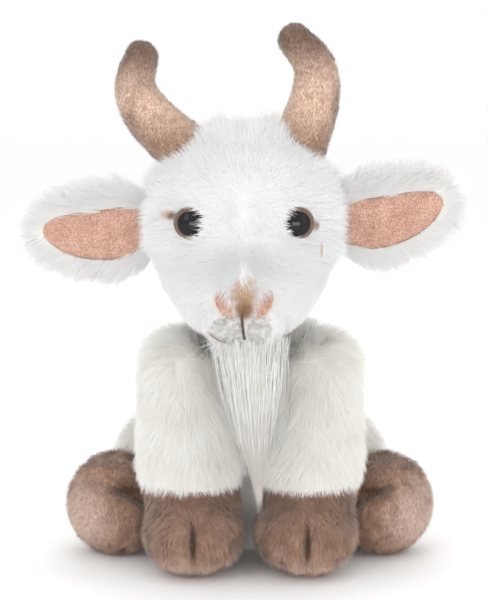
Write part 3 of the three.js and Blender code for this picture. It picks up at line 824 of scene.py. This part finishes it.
def on_bridge(points):
    """1 down the middle of the nose, where the hair is longer and lies flat."""
    across = np.exp(-(((points[:, 0] - HEAD_X) / 6) ** 2))
    level = smoothstep(152, 146, points[:, 2]) * smoothstep(131, 135, points[:, 2])
    return across * level * (points[:, 1] < MUZZLE_FRONT)


def horn_distance(points):
    roots = [np.array(HORN_ROOT, float) * (side, 1, 1) + (HEAD_X, 0, 0) for side in (-1, 1)]
    return np.minimum(*(np.linalg.norm(points - root, axis=1) for root in roots))


def head_length(points):
    """Long on the crown, by the horns and before the ears, short round the eyes, on lips and low cheeks."""
    across = np.abs(points[:, 0] - HEAD_X)
    up = points[:, 2]
    side = smoothstep(22, 36, across)
    length = 6.4 + 3.6 * smoothstep(10, 45, from_parting(points)[1])
    length = length + 5.5 * side * smoothstep(150, 162, up) * smoothstep(200, 186, up)
    length = length - 3.0 * side * smoothstep(156, 142, up)
    length = length + 3.0 * smoothstep(202, 209, up) + 3.5 * smoothstep(25, 17, horn_distance(points))
    length = length + 5.0 * smoothstep(121, 114, up) + 5.0 * smoothstep(-45, -25, points[:, 1])
    length = length + 4.5 * on_bridge(points)
    lips_near = smoothstep(20, 13, across) * smoothstep(-84, -90, points[:, 1])
    lips_near = lips_near * smoothstep(134, 131, up) * smoothstep(115, 119, up)
    length = length * (1 - 0.5 * lips_near)
    outer = smoothstep(0, 4, across - np.abs(EYES["right"][0][0] - HEAD_X))
    return length * (1 - (0.1 + 0.45 * outer) * smoothstep(15, 8, eye_distance(points)))


def head_lift(points):
    """The fur stands up most on the crown, beside the horns and on the upper cheeks."""
    up = points[:, 2]
    crown = smoothstep(202, 209, up)
    cheek = smoothstep(22, 38, np.abs(points[:, 0] - HEAD_X)) * smoothstep(-90, -70, points[:, 1])
    cheek = cheek * smoothstep(144, 160, up) * smoothstep(204, 190, up)
    behind = smoothstep(-50, -25, points[:, 1]) + smoothstep(121, 114, up)
    by_horns = smoothstep(25, 17, horn_distance(points))
    lift = 0.34 + 0.9 * crown + 0.55 * cheek + 0.4 * by_horns + 0.6 * behind
    return lift * (1 - 0.65 * on_bridge(points))


def on_nostrils(points, margin=0.0):
    x = np.abs(points[:, 0] - HEAD_X) - NOSTRIL[0]
    z = points[:, 2] - NOSTRIL[1]
    along = x * NOSTRIL_SLANT[0] + z * NOSTRIL_SLANT[1]
    across = x * NOSTRIL_SLANT[1] - z * NOSTRIL_SLANT[0]
    inside = (along / (NOSTRIL_HALF[0] + margin)) ** 2 + (across / (NOSTRIL_HALF[1] + margin)) ** 2 < 1
    return (inside & (points[:, 1] < MUZZLE_FRONT)).astype(float)


def on_lips(points):
    inside = np.zeros(len(points), bool)
    for (x, z), (half_width, half_height) in LIP_PATCHES:
        across = (points[:, 0] - HEAD_X - x) / half_width
        inside |= across**2 + ((points[:, 2] - z) / half_height) ** 2 < 1
    return (inside & (points[:, 1] < MUZZLE_FRONT)) * (1 - on_nostrils(points))


def head_density(points):
    bare = (1 - on_nostrils(points, 0.3)) * (1 - on_lips(points))
    return bare * (eye_distance(points) > EYE_RADIUS - 0.5)


grow("head_fur", "head", "white_fur", HEAD_WHITE, head, 4.8, head_length, head_comb, seed=23, width=0.21,
     lift=head_lift, droop=0.12, levels=4, weight=head_density, tousle=0.14, stray=0.2, clump=9, pull=0.12,
     facing=(0, -0.15, 0))


def chin_comb(points, normals):
    return downwards(points, normals) + (0, -0.25, 0)


def under_lips(points):
    return smoothstep(118.5, 116.5, points[:, 2])


chin = cut(head, lambda m: (m[:, 1] < -78) & (m[:, 2] < 119))
grow("chin_fur", "head", "white_fur", HEAD_WHITE, chin, 6.0, 10.5, chin_comb, seed=25, width=0.22, lift=0.8,
     droop=0.4, stray=0.3, weight=under_lips, facing=(0, -0.8, 0))


def put_eye(name):
    """The dome of a safety eye, turned round its axis."""
    centre, axis = EYES[name]
    angle = np.linspace(0, math.pi / 2, 12)
    profile = [(EYE_RADIUS * 0.3, -6.0), (EYE_RADIUS * 0.9, -1.5), (EYE_RADIUS, -0.6)]
    profile += [(EYE_RADIUS * math.cos(a), EYE_HEIGHT * math.sin(a)) for a in angle[:-1]]
    profile += [(0.05, EYE_HEIGHT)]
    side = unit(np.cross(axis, (0, 0, 1)))
    up = np.cross(side, axis)
    turn = np.linspace(0, 2 * math.pi, EYE_SIDES, endpoint=False)
    ring = np.cos(turn)[:, None] * side + np.sin(turn)[:, None] * up
    points = np.array([centre + ring * r + axis * h for r, h in profile])
    surface = turned_out(grid_surface(points, closed=True), centre)
    me = new_mesh("eye_dome_" + name, surface.vertices, NO_QUADS, surface.triangles)
    pupil = centre - np.array((SIDES[name] * PUPIL_SHIFT, 0, 0))
    put("eye_dome_" + name, me, "head", eye_material(pupil, axis), ["eye_" + name])


def inner_ring(name):
    """Where the fur beside an eye leans over it, on the side of the nose."""
    centre, axis = EYES[name]

    def share(points):
        off = points - centre
        across = off[:, 0] * SIDES[name]
        far = np.linalg.norm(off, axis=1)
        return ((far > EYE_RADIUS - 0.6) & (far < EYE_RADIUS + 3.0) & (across < -2.0)).astype(float)

    return share


def over_eye(name):
    """Away from the nose, and a little towards the eye's own height."""
    centre, _ = EYES[name]

    def comb(points, normals):
        level = (centre[2] - points[:, 2:3]) * 0.05
        return np.concatenate([np.full_like(level, SIDES[name]), level * 0, level], 1)

    return comb


eye_surrounds = cut(head, lambda m: (m[:, 1] < -50) & (m[:, 2] > 155) & (m[:, 2] < 187))
for name in SIDES:
    put_eye(name)
    grow("eye_fringe_" + name, "head", "white_fur", HEAD_WHITE, eye_surrounds, 7.0, 8.6, over_eye(name),
         seed=27, width=0.26, lift=1.0, levels=5, weight=inner_ring(name), tousle=0.12, stray=0.2, clump=8,
         pull=0.5)

# ---- Nose, lips and mouth ------------------------------------------------------------------------


def outwards(points, normals):
    return from_parting(points)[0] + np.array((0, 0, -0.6))


def sideways(points, normals):
    return np.array((1.0, 0, 0)) * np.sign(points[:, 0:1] - HEAD_X) + np.array((0, 0, -0.8))


face_front = cut(head, lambda m: (m[:, 1] < -80) & (m[:, 2] < 150))
grow("nose_pile", "head", "pink_pile", NOSE_PINK, face_front, 9, 2.2, outwards, seed=31, width=0.3,
     lift=0.7, levels=3, weight=lambda p: on_nostrils(p, 0.4), clump=7)
grow("lip_pile", "head", "lip_pile", LIP_GREY, face_front, 7, 3.0, sideways, seed=33, width=0.26, lift=0.8,
     levels=3, weight=on_lips, clump=14, pull=0.75, tousle=0.7)
for node in ("nose_patch_left", "nose_patch_right"):
    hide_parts(node)
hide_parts("lip_panel")


def catmull(points, count):
    """A smooth line through points."""
    points = np.array(points, float)
    padded_points = np.concatenate([2 * points[:1] - points[1:2], points, 2 * points[-1:] - points[-2:-1]])
    spans = len(points) - 1
    t = np.linspace(0, spans, count)
    i = np.minimum(t.astype(int), spans - 1)
    f = (t - i)[:, None]
    a, b, c, d = (padded_points[i + k] for k in range(4))
    return 0.5 * (2 * b + (c - a) * f + (2 * a - 5 * b + 4 * c - d) * f**2 + (3 * b - a - 3 * c + d) * f**3)


def tube(line, radii, sectors, up=(0, 1, 0)):
    """A closed skin round a line."""
    tangent = unit(np.gradient(line, axis=0))
    first = unit(np.cross(tangent, np.array(up, float)))
    second = np.cross(tangent, first)
    turn = np.linspace(0, 2 * math.pi, sectors, endpoint=False)
    ring = np.cos(turn)[None, :, None] * first[:, None] + np.sin(turn)[None, :, None] * second[:, None]
    points = line[:, None] + ring * np.asarray(radii)[:, None, None]
    return turned_out(grid_surface(points, closed=True), line.mean(0))


def floss(name, line, ply, body, material, replaced):
    """Two plies twisted round a line, thin at both ends. ply is the floss's radius and its pitch."""
    radius, pitch = ply
    gone = np.concatenate([[0], np.cumsum(np.linalg.norm(np.diff(line, axis=0), axis=1))])
    tangent = unit(np.gradient(line, axis=0))
    first = unit(np.cross(tangent, (0.2, 1.0, 0.1)))
    second = np.cross(tangent, first)
    ends = np.minimum(1, np.minimum(gone, gone[-1] - gone) / (radius * 3) + 0.15)
    plies = []
    for phase in (0, math.pi):
        angle = (gone / pitch * 2 * math.pi + phase)[:, None]
        offset = (first * np.cos(angle) + second * np.sin(angle)) * (radius * 0.55 * ends)[:, None]
        plies.append(tube(line + offset, radius * 0.62 * ends, 8, up=(0.2, 1.0, 0.1)))
    vertices = np.concatenate([ply.vertices for ply in plies])
    triangles = np.concatenate([plies[0].triangles, plies[1].triangles + len(plies[0].vertices)])
    put(name, new_mesh(name, vertices, NO_QUADS, triangles), body, material, replaced)


def skin_point(shape, start, direction, off):
    """Where a ray from inside a shape leaves it, and a little further."""
    start, direction = np.array(start, float), unit(np.array(direction, float))
    low, high = 0.0, 70.0
    for _ in range(30):
        half = (low + high) / 2
        low, high = (half, high) if shape((start + direction * half)[None])[0] < 0 else (low, half)
    return start + direction * (low + off)


def on_face(x, z, off):
    """A point over the face, seen from the front."""
    return skin_point(face_shape, (HEAD_X + x, -60, z), (0, -1, 0), off)


mouth_line = catmull([on_face(x, z, STITCH_LIFT) for x, z in MOUTH], 60)
floss("mouth_floss", mouth_line, MOUTH_PLY, "head", FLOSS, ["mouth_stitch"])
smile_line = catmull([on_face(x, z, STITCH_LIFT) for x, z in SMILE], 50)
floss("smile_floss", smile_line, SMILE_PLY, "head", SMILE_FLOSS, ["smile_stitch_left"])

# ---- Horns ---------------------------------------------------------------------------------------


def horn_skin(name):
    """A horn's skin and its middle line."""
    side = SIDES[name]
    rise = HORN_RISE[name]
    path = [
        (-7, 0, -16),
        (0, 0, 0),
        (HORN_BOW * 0.95, HORN_BACK * 0.4, rise * 0.48),
        (HORN_BOW * 0.9, HORN_BACK * 0.8, rise * 0.78),
        (-HORN_CURL, HORN_BACK, rise),
    ]
    line = catmull(path, 60)
    line[:, 0] *= side
    lean = math.radians(HORN_LEAN[name]) * side
    c, s = math.cos(lean), math.sin(lean)
    turn = np.array([[c, 0, s], [0, 1, 0], [-s, 0, c]])
    line = line @ turn.T
    t = np.linspace(0, 1, len(line))
    radii = HORN_BASE + (HORN_TIP - HORN_BASE) * t**1.15
    end = unit(line[-1] - line[-2])
    cap = np.linspace(0, math.pi / 2, 8)[1:]
    line = np.concatenate([line, line[-1] + end * (np.sin(cap) * radii[-1] * 0.85)[:, None]])
    radii = np.concatenate([radii, radii[-1] * np.maximum(np.cos(cap), 0.02)])
    x, y, z = HORN_ROOT
    line = line + (HEAD_X + side * x, y, z)
    return tube(line, radii, 40), line


def horn_comb(points, normals):
    return np.tile((0.0, 0.1, 1.0), (len(points), 1))


for name in SIDES:
    skin, line = horn_skin(name)
    edge = line[26] + (SIDES[name] * 13, 0, 0)
    top = line[:, 2].max()
    tints = several(
        along_z(224, 204, HORN_SHADE, 0.9),
        near_point(edge, (7, 20, 20), HORN_EDGE, 0.25),
        along_z(top - 32, top - 8, HORN_EDGE, 0.85),
        along_z(top - 18, top - 4, TIP_BROWN, 0.85),
    )
    look = pile("horn_pile_" + name, (0.6, 0.42, 0.32), (0.74, 0.54, 0.43), size=4, sheen=0.4, tint=tints,
                streak=(0.6, 1.4))
    put_skin("horn_body_" + name, skin, "head", look, ["horn_skin_" + name])
    shown = cut(skin, lambda m: m[:, 2] > HORN_FUR_FROM)
    grow("horn_fur_" + name, "head", "horn_pile", look, shown, 6, 2.5, horn_comb, seed=41, width=0.24,
         lift=0.9, levels=3, clump=12, pull=0.6, tousle=0.6)

# ---- Ears ----------------------------------------------------------------------------------------


def leaf_half(u, half_width):
    """Half the width of a leaf at a share of its length: nearly even, with a round tip."""
    return half_width * np.sqrt(np.maximum(1 - np.abs(u) ** 3, 0)) * (0.7 + 0.3 * smoothstep(0, 0.25, u))


def leaf_cup(lift):
    """How far a leaf's edges stand forward of its middle."""
    w = lift / EAR_HALF_WIDTH * 1.05
    above = 1.5 * np.maximum(w - 0.25, 0) ** 1.3
    below = 0.9 * np.maximum(0.25 - w, 0) ** 1.6
    return EAR_CUP * np.where(w > 0.25, above, below)


def leaf_point(u, v, start, length, half_width, forward, drop=0.0):
    """A point of an ear leaf in its own frame: x from root to tip, z across and -y to its hollow side."""
    lift = leaf_half(u, half_width) * v - drop * np.sin(math.pi * u)
    return np.stack([start + length * u, -leaf_cup(lift) - forward, lift], -1)


def ear_place(name):
    """The side, the root and the two angles of an ear."""
    side = SIDES[name]
    root = np.array((HEAD_X + side * EAR_ROOT[0], EAR_ROOT[1], EAR_ROOT[2]))
    return side, root, math.radians(EAR_RISE[name]), math.radians(EAR_SWEEP)


def ear_frame(points, name):
    """Points in the ear's own frame: the opposite of place_ear."""
    side, root, rise, sweep = ear_place(name)
    x, y, z = ((points - root) * (side, 1, 1)).T
    x, y = x * math.cos(sweep) + y * math.sin(sweep), y * math.cos(sweep) - x * math.sin(sweep)
    x, z = x * math.cos(rise) + z * math.sin(rise), z * math.cos(rise) - x * math.sin(rise)
    return x, y, z


def place_ear(points, name):
    """Points of the ear's own frame, where they are on the goat."""
    side, root, rise, sweep = ear_place(name)
    x, y, z = points[..., 0], points[..., 1], points[..., 2]
    x, z = x * math.cos(rise) - z * math.sin(rise), x * math.sin(rise) + z * math.cos(rise)
    x, y = x * math.cos(sweep) - y * math.sin(sweep), x * math.sin(sweep) + y * math.cos(sweep)
    return np.stack([x * side, y, z], -1) + root


def leaf(name, start, length, half_width, wall, forward, drop=0.0):
    """A padded leaf of an ear: its back, or its lining."""
    u = 1 - (1 - np.linspace(0, 0.999, 40)) ** 1.5
    v = np.linspace(-1, 1, 25)
    uu, vv = np.meshgrid(u, v, indexing="ij")
    bulge = (1 - vv**2) ** 0.5 * wall / 2
    near = leaf_point(uu, vv, start, length, half_width, forward + wall / 2 - bulge, drop)
    far = leaf_point(uu, vv, start, length, half_width, forward + wall / 2 + bulge, drop)
    ring = np.concatenate([near, far[:, -2:0:-1]], 1)
    surface = grid_surface(place_ear(ring, name), closed=True)
    return turned_out(surface, surface.vertices.mean(0))


def ear_comb(name):
    side = SIDES[name]
    rise = math.radians(EAR_RISE[name])
    along = np.array((side * math.cos(rise), 0.1, math.sin(rise)))
    root = place_ear(np.array((-10.0, 0.0, 0.0)), name)

    def comb(points, normals):
        """Out towards the tip, and away from the ear's middle line."""
        off = points - root
        off = off - along * dot(off, along)
        return along * 0.75 + off * 0.055 + np.array((0, -0.12, 0))

    return comb


def off_lining(name):
    """A function that is 0 on the lining's patch of the ear's hollow side, and 1 elsewhere."""

    def share(points):
        x, y, z = ear_frame(points, name)
        u = (x - LINING_START) / LINING_LENGTH
        lift = z + LINING_DROP * np.sin(math.pi * np.clip(u, 0, 1))
        inside = np.abs(lift) < leaf_half(np.clip(u, 0, 1), LINING_HALF_WIDTH) - 1.2
        hollow_side = y < -leaf_cup(z) - EAR_WALL / 2 + 0.3
        return 1.0 - (inside & hollow_side)

    return share


for name in SIDES:
    body = "ear_" + name
    back = leaf(name, 0.0, EAR_LENGTH, EAR_HALF_WIDTH, EAR_WALL, -0.3)
    lining = leaf(name, LINING_START, LINING_LENGTH, LINING_HALF_WIDTH, 0.8, EAR_WALL, LINING_DROP)
    put_skin("ear_body_" + name, back, body, UNDER_WHITE, ["ear_back_" + name])
    put_skin("ear_lining_pink_" + name, lining, body, PINK, ["ear_lining_" + name])
    grow("ear_fur_" + name, body, "white_fur", WHITE, back, 3.8, 12.5, ear_comb(name), seed=51, width=0.23,
         lift=0.6, levels=4, weight=off_lining(name), droop=0.1, facing=(0, -1.3, 0))
    grow("ear_pile_" + name, body, "pink_pile", PINK, lining, 4.5, 1.6, ear_comb(name), seed=53, width=0.26,
         lift=1.0, levels=3, clump=6, tousle=0.5)

# ---- Legs ----------------------------------------------------------------------------------------


def creased(shape, line, facing, depth, width):
    """A shape drawn in along a stitched line on its surface. line is its ends, and facing points out."""
    a, b = (np.array(end, float) for end in line)
    along = b - a
    facing = unit(np.array(facing, float))

    def pinched(p):
        t = np.clip((p - a) @ along / (along @ along), 0, 1)[:, None]
        off = p - (a + along * t)
        off = off - dot(off, facing) * facing
        gap = np.linalg.norm(off, axis=1)
        ends = smoothstep(0, 0.25, t[:, 0]) * smoothstep(1.0, 0.75, t[:, 0]) * 0.6 + 0.4
        front = smoothstep(0, 0.35, unit(p - (a + b) / 2 + facing * 18) @ facing)
        return shape(p) + depth * ends * front * np.exp(-((gap / width) ** 2))

    return pinched


def foreleg(side):
    """A foreleg's skin, and the line of the thread that dents its toe."""

    def place(point):
        return side * point[0], point[1], point[2]

    arm = round_cone(place(SHOULDER), place(WRIST), SHOULDER_RADIUS, WRIST_RADIUS)
    toe = ellipsoid(place(FORE_HOOF[0]), FORE_HOOF[1])
    x, y, z = place(FORE_HOOF[0])
    line = ((x + side * 2, y - 26, 33), (x - side * 2, y - 26, 5))
    shape = creased(blend(LEG_BLEND, arm, toe), line, (0, -1, 0.25), CREASE_DEPTH, CREASE_WIDTH)
    rows = np.linspace(0.06, 0.8, 6)
    stitch = [skin_point(shape, (x + side * (2 - 4 * t), y, 33 - 28 * t), (0, -1, 0.1), 0.3) for t in rows]
    return blob(on_floor(shape), place(WRIST), fineness=6), catmull(stitch, 60)


def arm_comb(points, normals):
    """Down the sleeve, and on top of the shoulder away from the neck."""
    flow = np.tile((0.0, -0.15, -1.0), (len(points), 1))
    top = smoothstep(96, 108, points[:, 2:3])
    return flow + top * np.concatenate([np.sign(points[:, 0:1]) * 0.7, 0 * top - 0.5, 0 * top + 0.9], 1)


def arm_length(points):
    """Shorter where the sleeve meets the hoof, and longer on the shoulder."""
    up = points[:, 2]
    inner = smoothstep(24, 12, np.abs(points[:, 0])) * smoothstep(FORE_ANKLE + 6, FORE_ANKLE + 20, up)
    cuff = smoothstep(FORE_ANKLE, FORE_ANKLE + 14, up)
    return 6.0 + 4.5 * cuff + 4.5 * smoothstep(96, 106, up) + 4.0 * inner


def arm_lift(points):
    return 0.95 + 0.5 * smoothstep(90, 110, points[:, 2])


def toe_comb(points, normals):
    return np.tile((0.0, -0.6, -0.8), (len(points), 1))


def off_floor(points):
    return smoothstep(0.3, 2.0, points[:, 2])


HOOF_PILE = {"width": 0.27, "lift": 1.1, "levels": 4, "clump": 8, "tousle": 0.45, "pull": 0.5}


for name, side in SIDES.items():
    body = "foreleg_" + name
    leg, stitch = foreleg(side)
    sleeve = cut(leg, lambda m: m[:, 2] > FORE_ANKLE - 0.5)
    hoof = cut(leg, lambda m: (m[:, 2] <= FORE_ANKLE) & (m[:, 2] > SOLE_LIFT))
    sole = cut(leg, lambda m: m[:, 2] <= SOLE_LIFT)
    put_skin(body + "_arm", sleeve, body, UNDER_WHITE, [body + "_sleeve"])
    put_skin(body + "_mitt", hoof, body, UNDER_BROWN, [body + "_hoof"])
    put_skin(body + "_pad", sole, body, UNDER_SOLE, [body + "_sole"])
    floss(body + "_toe_floss", stitch, TOE_PLY, body, FLOSS, [body + "_toe_stitch"])
    grow(body + "_fur", body, "white_fur", CREAM, sleeve, 3.5, arm_length, arm_comb, seed=61, width=0.23,
         lift=arm_lift, droop=0.3, tousle=0.4, levels=4, pull=0.35, facing=(0, -0.9, 0))
    grow(body + "_hoof_pile", body, "brown_pile", BROWN, hoof, 4.4, 5.6, toe_comb, seed=63,
         facing=(0, -0.2, 0), **HOOF_PILE)
    grow(body + "_sole_pile", body, "sole_pile", SOLE, sole, 3.0, 4.0, toe_comb, seed=65, width=0.27,
         lift=1.0, levels=3, weight=off_floor)


def hindleg(side):
    """A hindleg's skin, its hoof's middle, the way it points, and the line of the thread that dents it."""
    hip = np.array((side * THIGH[0][0], *THIGH[0][1:]), float)
    hoof = np.array((side * HIND_HOOF[0], *HIND_HOOF[1:]), float)
    out = unit((hoof - hip) * (1, 1, 0))
    shin = round_cone((hip[0], hip[1], hoof[2]), hoof, SHIN_RADIUS, SHIN_RADIUS)
    thigh = ellipsoid(hip, THIGH[1])
    squeeze = HIND_HOOF_RADIUS / HIND_HOOF_LENGTH - 1

    def toe(p):
        q = p - hoof
        q = q + (q @ out)[:, None] * squeeze * out
        return np.linalg.norm(q, axis=1) - HIND_HOOF_RADIUS

    ways = [unit(np.array((side * x, y, z))) for x, y, z in HIND_CREASE]
    start, turn, end = (hoof + way * HIND_HOOF_RADIUS for way in ways)
    shape = blend(LEG_BLEND, thigh, shin, toe)
    facing = (-0.35 * side, -0.85, 0.35)
    shape = creased(shape, (start, turn), facing, CREASE_DEPTH, CREASE_WIDTH)
    shape = creased(shape, (turn, end), facing, CREASE_DEPTH, CREASE_WIDTH)
    bends = catmull([start, turn, end], 9)[1:-1]
    stitch = catmull([skin_point(shape, hoof, bend - hoof, 0.3) for bend in bends], 60)
    middle_point = (hip + hoof) / 2
    middle_point[2] = hoof[2] + 2
    return blob(on_floor(shape), middle_point, fineness=6), hoof, out, stitch


def steady_comb(flow):
    """A comb that lays the pile the same way everywhere."""
    return lambda points, normals: flow


def fan_comb(centre):
    """A comb away from a point, and down."""
    return lambda points, normals: unit(points - centre) + np.array((0, 0, -0.4))


for name, side in SIDES.items():
    body = "hindleg_" + name
    leg, hoof_middle, out, stitch = hindleg(side)
    ankle = hoof_middle @ out - HIND_ANKLE_BACK
    rim = hoof_middle @ out + HIND_SOLE_OUT
    sleeve = cut(leg, lambda m: m @ out < ankle + 0.5)
    hoof = cut(leg, lambda m: (m @ out >= ankle) & (m @ out < rim))
    sole = cut(leg, lambda m: m @ out >= rim)
    fold = unit(np.array(HIND_CREASE[1])) * HIND_HOOF_RADIUS * (side, 1, 1)
    tints = several(
        near_point(hoof_middle + (side * 17, -15, -3), (23, 27, 25), LIGHT_TAN),
        # painted shade round the fold
        near_point(hoof_middle + fold, (15, 14, 9), HOOF_PAINTED_SHADE),
        # painted shade in the fold
        near_point(hoof_middle + fold, (8, 12, 3), HOOF_CREASE_SHADE),
    )
    look = pile("hind_hoof_pile_" + name, HOOF_DARK, HOOF_LIGHT, size=7, sheen=0.5, bump=0, tint=tints,
                streak=(0.9, 2.4))
    floss(body + "_toe_floss", stitch, TOE_PLY, body, FLOSS, [body + "_toe_stitch"])
    put_skin(body + "_shin", sleeve, body, UNDER_WHITE, [body + "_sleeve"])
    put_skin(body + "_mitt", hoof, body, look, [body + "_hoof"])
    put_skin(body + "_pad", sole, body, look, [body + "_sole"])

    shin_comb = steady_comb(out * 0.7 + DOWN * 0.6)
    around = steady_comb(out * 0.35 + DOWN * 0.7)
    grow(body + "_fur", body, "white_fur", CREAM, sleeve, 2.4, 10.5, shin_comb, seed=71, width=0.25,
         lift=0.85, droop=0.3, levels=4, weight=off_floor, facing=(0, -0.3, 0))
    grow(body + "_hoof_pile", body, "brown_pile", look, hoof, 4.4, 5.4, around, seed=73, weight=off_floor,
         **HOOF_PILE)
    grow(body + "_sole_pile", body, "sole_pile", look, sole, 4.4, 4.8, fan_comb(hoof_middle), seed=75,
         width=0.27, lift=1.0, levels=4, clump=6, weight=off_floor)

# ---- Tail ----------------------------------------------------------------------------------------

tail_low, tail_high = box_mm("tail_skin")
tail_root = np.array((0, tail_low[1] + 8.3, tail_high[2] - 7.5))
tail_tip = np.array((0, tail_high[1] - 5.5, tail_low[2] + 6.5))
tail = blob(round_cone(tail_root, tail_tip, *TAIL_RADII), (tail_root + tail_tip) / 2, fineness=4)
put_skin("tail_body", tail, "tail", UNDER_WHITE, ["tail_skin"])


def tail_comb(points, normals):
    return np.tile(unit(tail_tip - tail_root) + (0, 0, -0.2), (len(points), 1))


grow("tail_fur", "tail", "white_fur", CREAM, tail, 3.0, 9, tail_comb, seed=81, width=0.25, lift=0.7,
     droop=0.1, tousle=0.5)

# ---- Beard ---------------------------------------------------------------------------------------


def beard_width(t):
    """Half the beard's width, at a share of the way down it."""
    return BEARD_HALF_WIDTH * np.maximum(1 - t, 0) ** 1.1 + BEARD_TIP_HALF_WIDTH


def beard_middle(t):
    """The beard's middle line, at a share of the way down it."""
    root, tip = np.array(BEARD_ROOT, float), np.array(BEARD_TIP, float)
    return root + (tip - root) * t - np.array((0, 3.0, 0)) * np.sin(math.pi * np.clip(t, 0, 1) ** 0.7)


def beard_core():
    """The lock of hair inside, which closes the gaps between the strands."""
    t = np.linspace(0, 0.8, 24)[:, None]
    turn = np.linspace(0, 2 * math.pi, 28, endpoint=False)
    rows = []
    for share in t:
        half = beard_width(share) * 0.62
        depth = half * 0.45 + 0.5
        ring = np.stack([np.cos(turn) * half, np.sin(turn) * depth, 0 * turn], -1)
        rows.append(beard_middle(share) + (HEAD_X, 0, 0) + ring)
    surface = grid_surface(np.array(rows), closed=True)
    return turned_out(surface, surface.vertices.mean(0))


def grow_beard():
    """Single wavy hairs, each from its own height of the lock's middle line."""
    rng = np.random.default_rng(91)
    count, levels = BEARD_STRANDS, BEARD_LEVELS
    start = rng.beta(0.8, 2.2, count)[:, None] * 0.75 - 0.06
    longest = rng.uniform(0.3, 0.75, count)[:, None]
    reach = np.minimum(longest, 1.06 - start + rng.exponential(0.05, (count, 1)))
    t = start + reach * np.linspace(0, 1, levels)[None]
    angle = rng.uniform(0, 2 * math.pi, (count, 1))
    off = rng.beta(1.7, 1.5, (count, 1)) * 1.22
    half = beard_width(np.minimum(t, 1)) * off
    spread = 1 + 0.6 * rng.normal(size=(count, 1)) * (t - start)
    line = beard_middle(t[..., None]) + (HEAD_X, 0, 0)
    line[..., 0] += np.cos(angle) * half * spread
    line[..., 1] += np.sin(angle) * (half * 0.6 + 1.0) * spread
    bend = np.sin((t - start) * 6 + angle * 3)[..., None]
    wave = rng.normal(size=(count, 1, 3)) * bend * (0.7, 0.35, 0.2)
    line = line + wave * np.linspace(0, 1, levels)[None, :, None]
    line[..., 2] = np.maximum(line[..., 2], 1)
    ahead = unit(line[:, -1] - line[:, 0])
    outward = np.concatenate([np.cos(angle), np.sin(angle) * 1.5, np.full((count, 1), 0.1)], 1)
    sides = unit(np.cross(unit(outward + 0.4 * rng.normal(size=(count, 3))), ahead))
    widths = 0.16 * rng.uniform(0.7, 1.2, count)
    spots = np.concatenate([angle / (2 * math.pi), start / start.max()], 1)
    spots = (spots - spots.min(0)) / np.ptp(spots, axis=0)
    shading = unit(unit(outward) + (0, -0.8, 0.0) + 0.06 * rng.normal(size=(count, 3)))
    me = strand_mesh("beard_hair", line, sides, widths, shading, spots)
    put("beard_hair", me, "head", HAIR)


put_skin("beard_lock", beard_core(), "head", HAIR, ["beard"])
grow_beard()

# ---- CAD nodes that keep their shape -------------------------------------------------------------

KEPT = {
    "torso_stuffing": FILL,
    "neck_stuffing": FILL,
    "bean_bag": POUCH,
    "closing_seam": FLOSS,
    "head_stuffing": FILL,
    "horn_stuffing_left": FILL,
    "horn_stuffing_right": FILL,
    "eye_washer_left": WASHER,
    "eye_washer_right": WASHER,
    "tail_stuffing": FILL,
}
for leg in ("foreleg_left", "foreleg_right", "hindleg_left", "hindleg_right"):
    KEPT[leg + "_stuffing"] = FILL
for node, material in KEPT.items():
    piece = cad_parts[node]
    piece.data.materials.clear()
    piece.data.materials.append(material)

# ---- Floor, light and camera ---------------------------------------------------------------------


def paper(name, tone):
    """White paper with a faint grain."""
    graph = Graph(name)
    grain = graph.add("TexNoise", {"Scale": 40}).outputs["Fac"]
    colour = graph.ramp(grain, (0, [tone * 0.985] * 3), (1, [tone] * 3))
    graph.feed(graph.shader, {"Base Color": colour, "Roughness": 0.9})
    return graph.material


bpy.ops.mesh.primitive_plane_add(size=8)
floor = bpy.context.object
floor.name = "floor"
floor.data.materials.append(paper("floor_paper", 0.99))


def soft_light(name, place, aim, size, power):
    """A rectangular lamp of size metres that shines at aim."""
    lamp = bpy.data.lights.new(name, "AREA")
    lamp.shape = "RECTANGLE"
    lamp.size, lamp.size_y = size
    lamp.energy = power
    holder = bpy.data.objects.new(name, lamp)
    bpy.context.scene.collection.objects.link(holder)
    holder.location = place
    holder.rotation_euler = (Vector(aim) - Vector(place)).to_track_quat("-Z", "Y").to_euler()


GOAT_MIDDLE = (0, -0.03, 0.13)
soft_light("key", (-0.75, -1.0, 0.95), GOAT_MIDDLE, (0.6, 0.8), 2.0)
soft_light("fill", (0.95, -0.9, 0.6), GOAT_MIDDLE, (0.7, 0.9), 0.9)
soft_light("low", (0.05, -1.2, 0.12), (0, -0.05, 0.06), (0.9, 0.4), 5.2)
soft_light("back", (0.1, 1.1, 1.0), GOAT_MIDDLE, (1.2, 0.7), 4.0)

world = bpy.data.worlds.new("studio")
bpy.context.scene.world = world
world.use_nodes = True
world.node_tree.nodes["Background"].inputs["Color"].default_value = (1, 1, 1, 1)
world.node_tree.nodes["Background"].inputs["Strength"].default_value = 1.0
bpy.context.scene.view_settings.view_transform = "Standard"
bpy.context.scene.cycles.diffuse_bounces = 8

CAMERA_DISTANCE = 0.9
CAMERA_RISE = math.radians(7.8)
CAMERA_AIM = Vector((-0.003, -0.04, 0.129))
lens = bpy.data.cameras.new("camera")
lens.sensor_fit = "VERTICAL"
lens.sensor_height = 36
lens.lens = 110
lens.clip_start = 0.05
camera = bpy.data.objects.new("camera", lens)
bpy.context.scene.collection.objects.link(camera)
back = Vector((0, -math.cos(CAMERA_RISE), math.sin(CAMERA_RISE)))
camera.location = CAMERA_AIM + back * CAMERA_DISTANCE
camera.rotation_euler = (-back).to_track_quat("-Z", "Y").to_euler()
bpy.context.scene.camera = camera
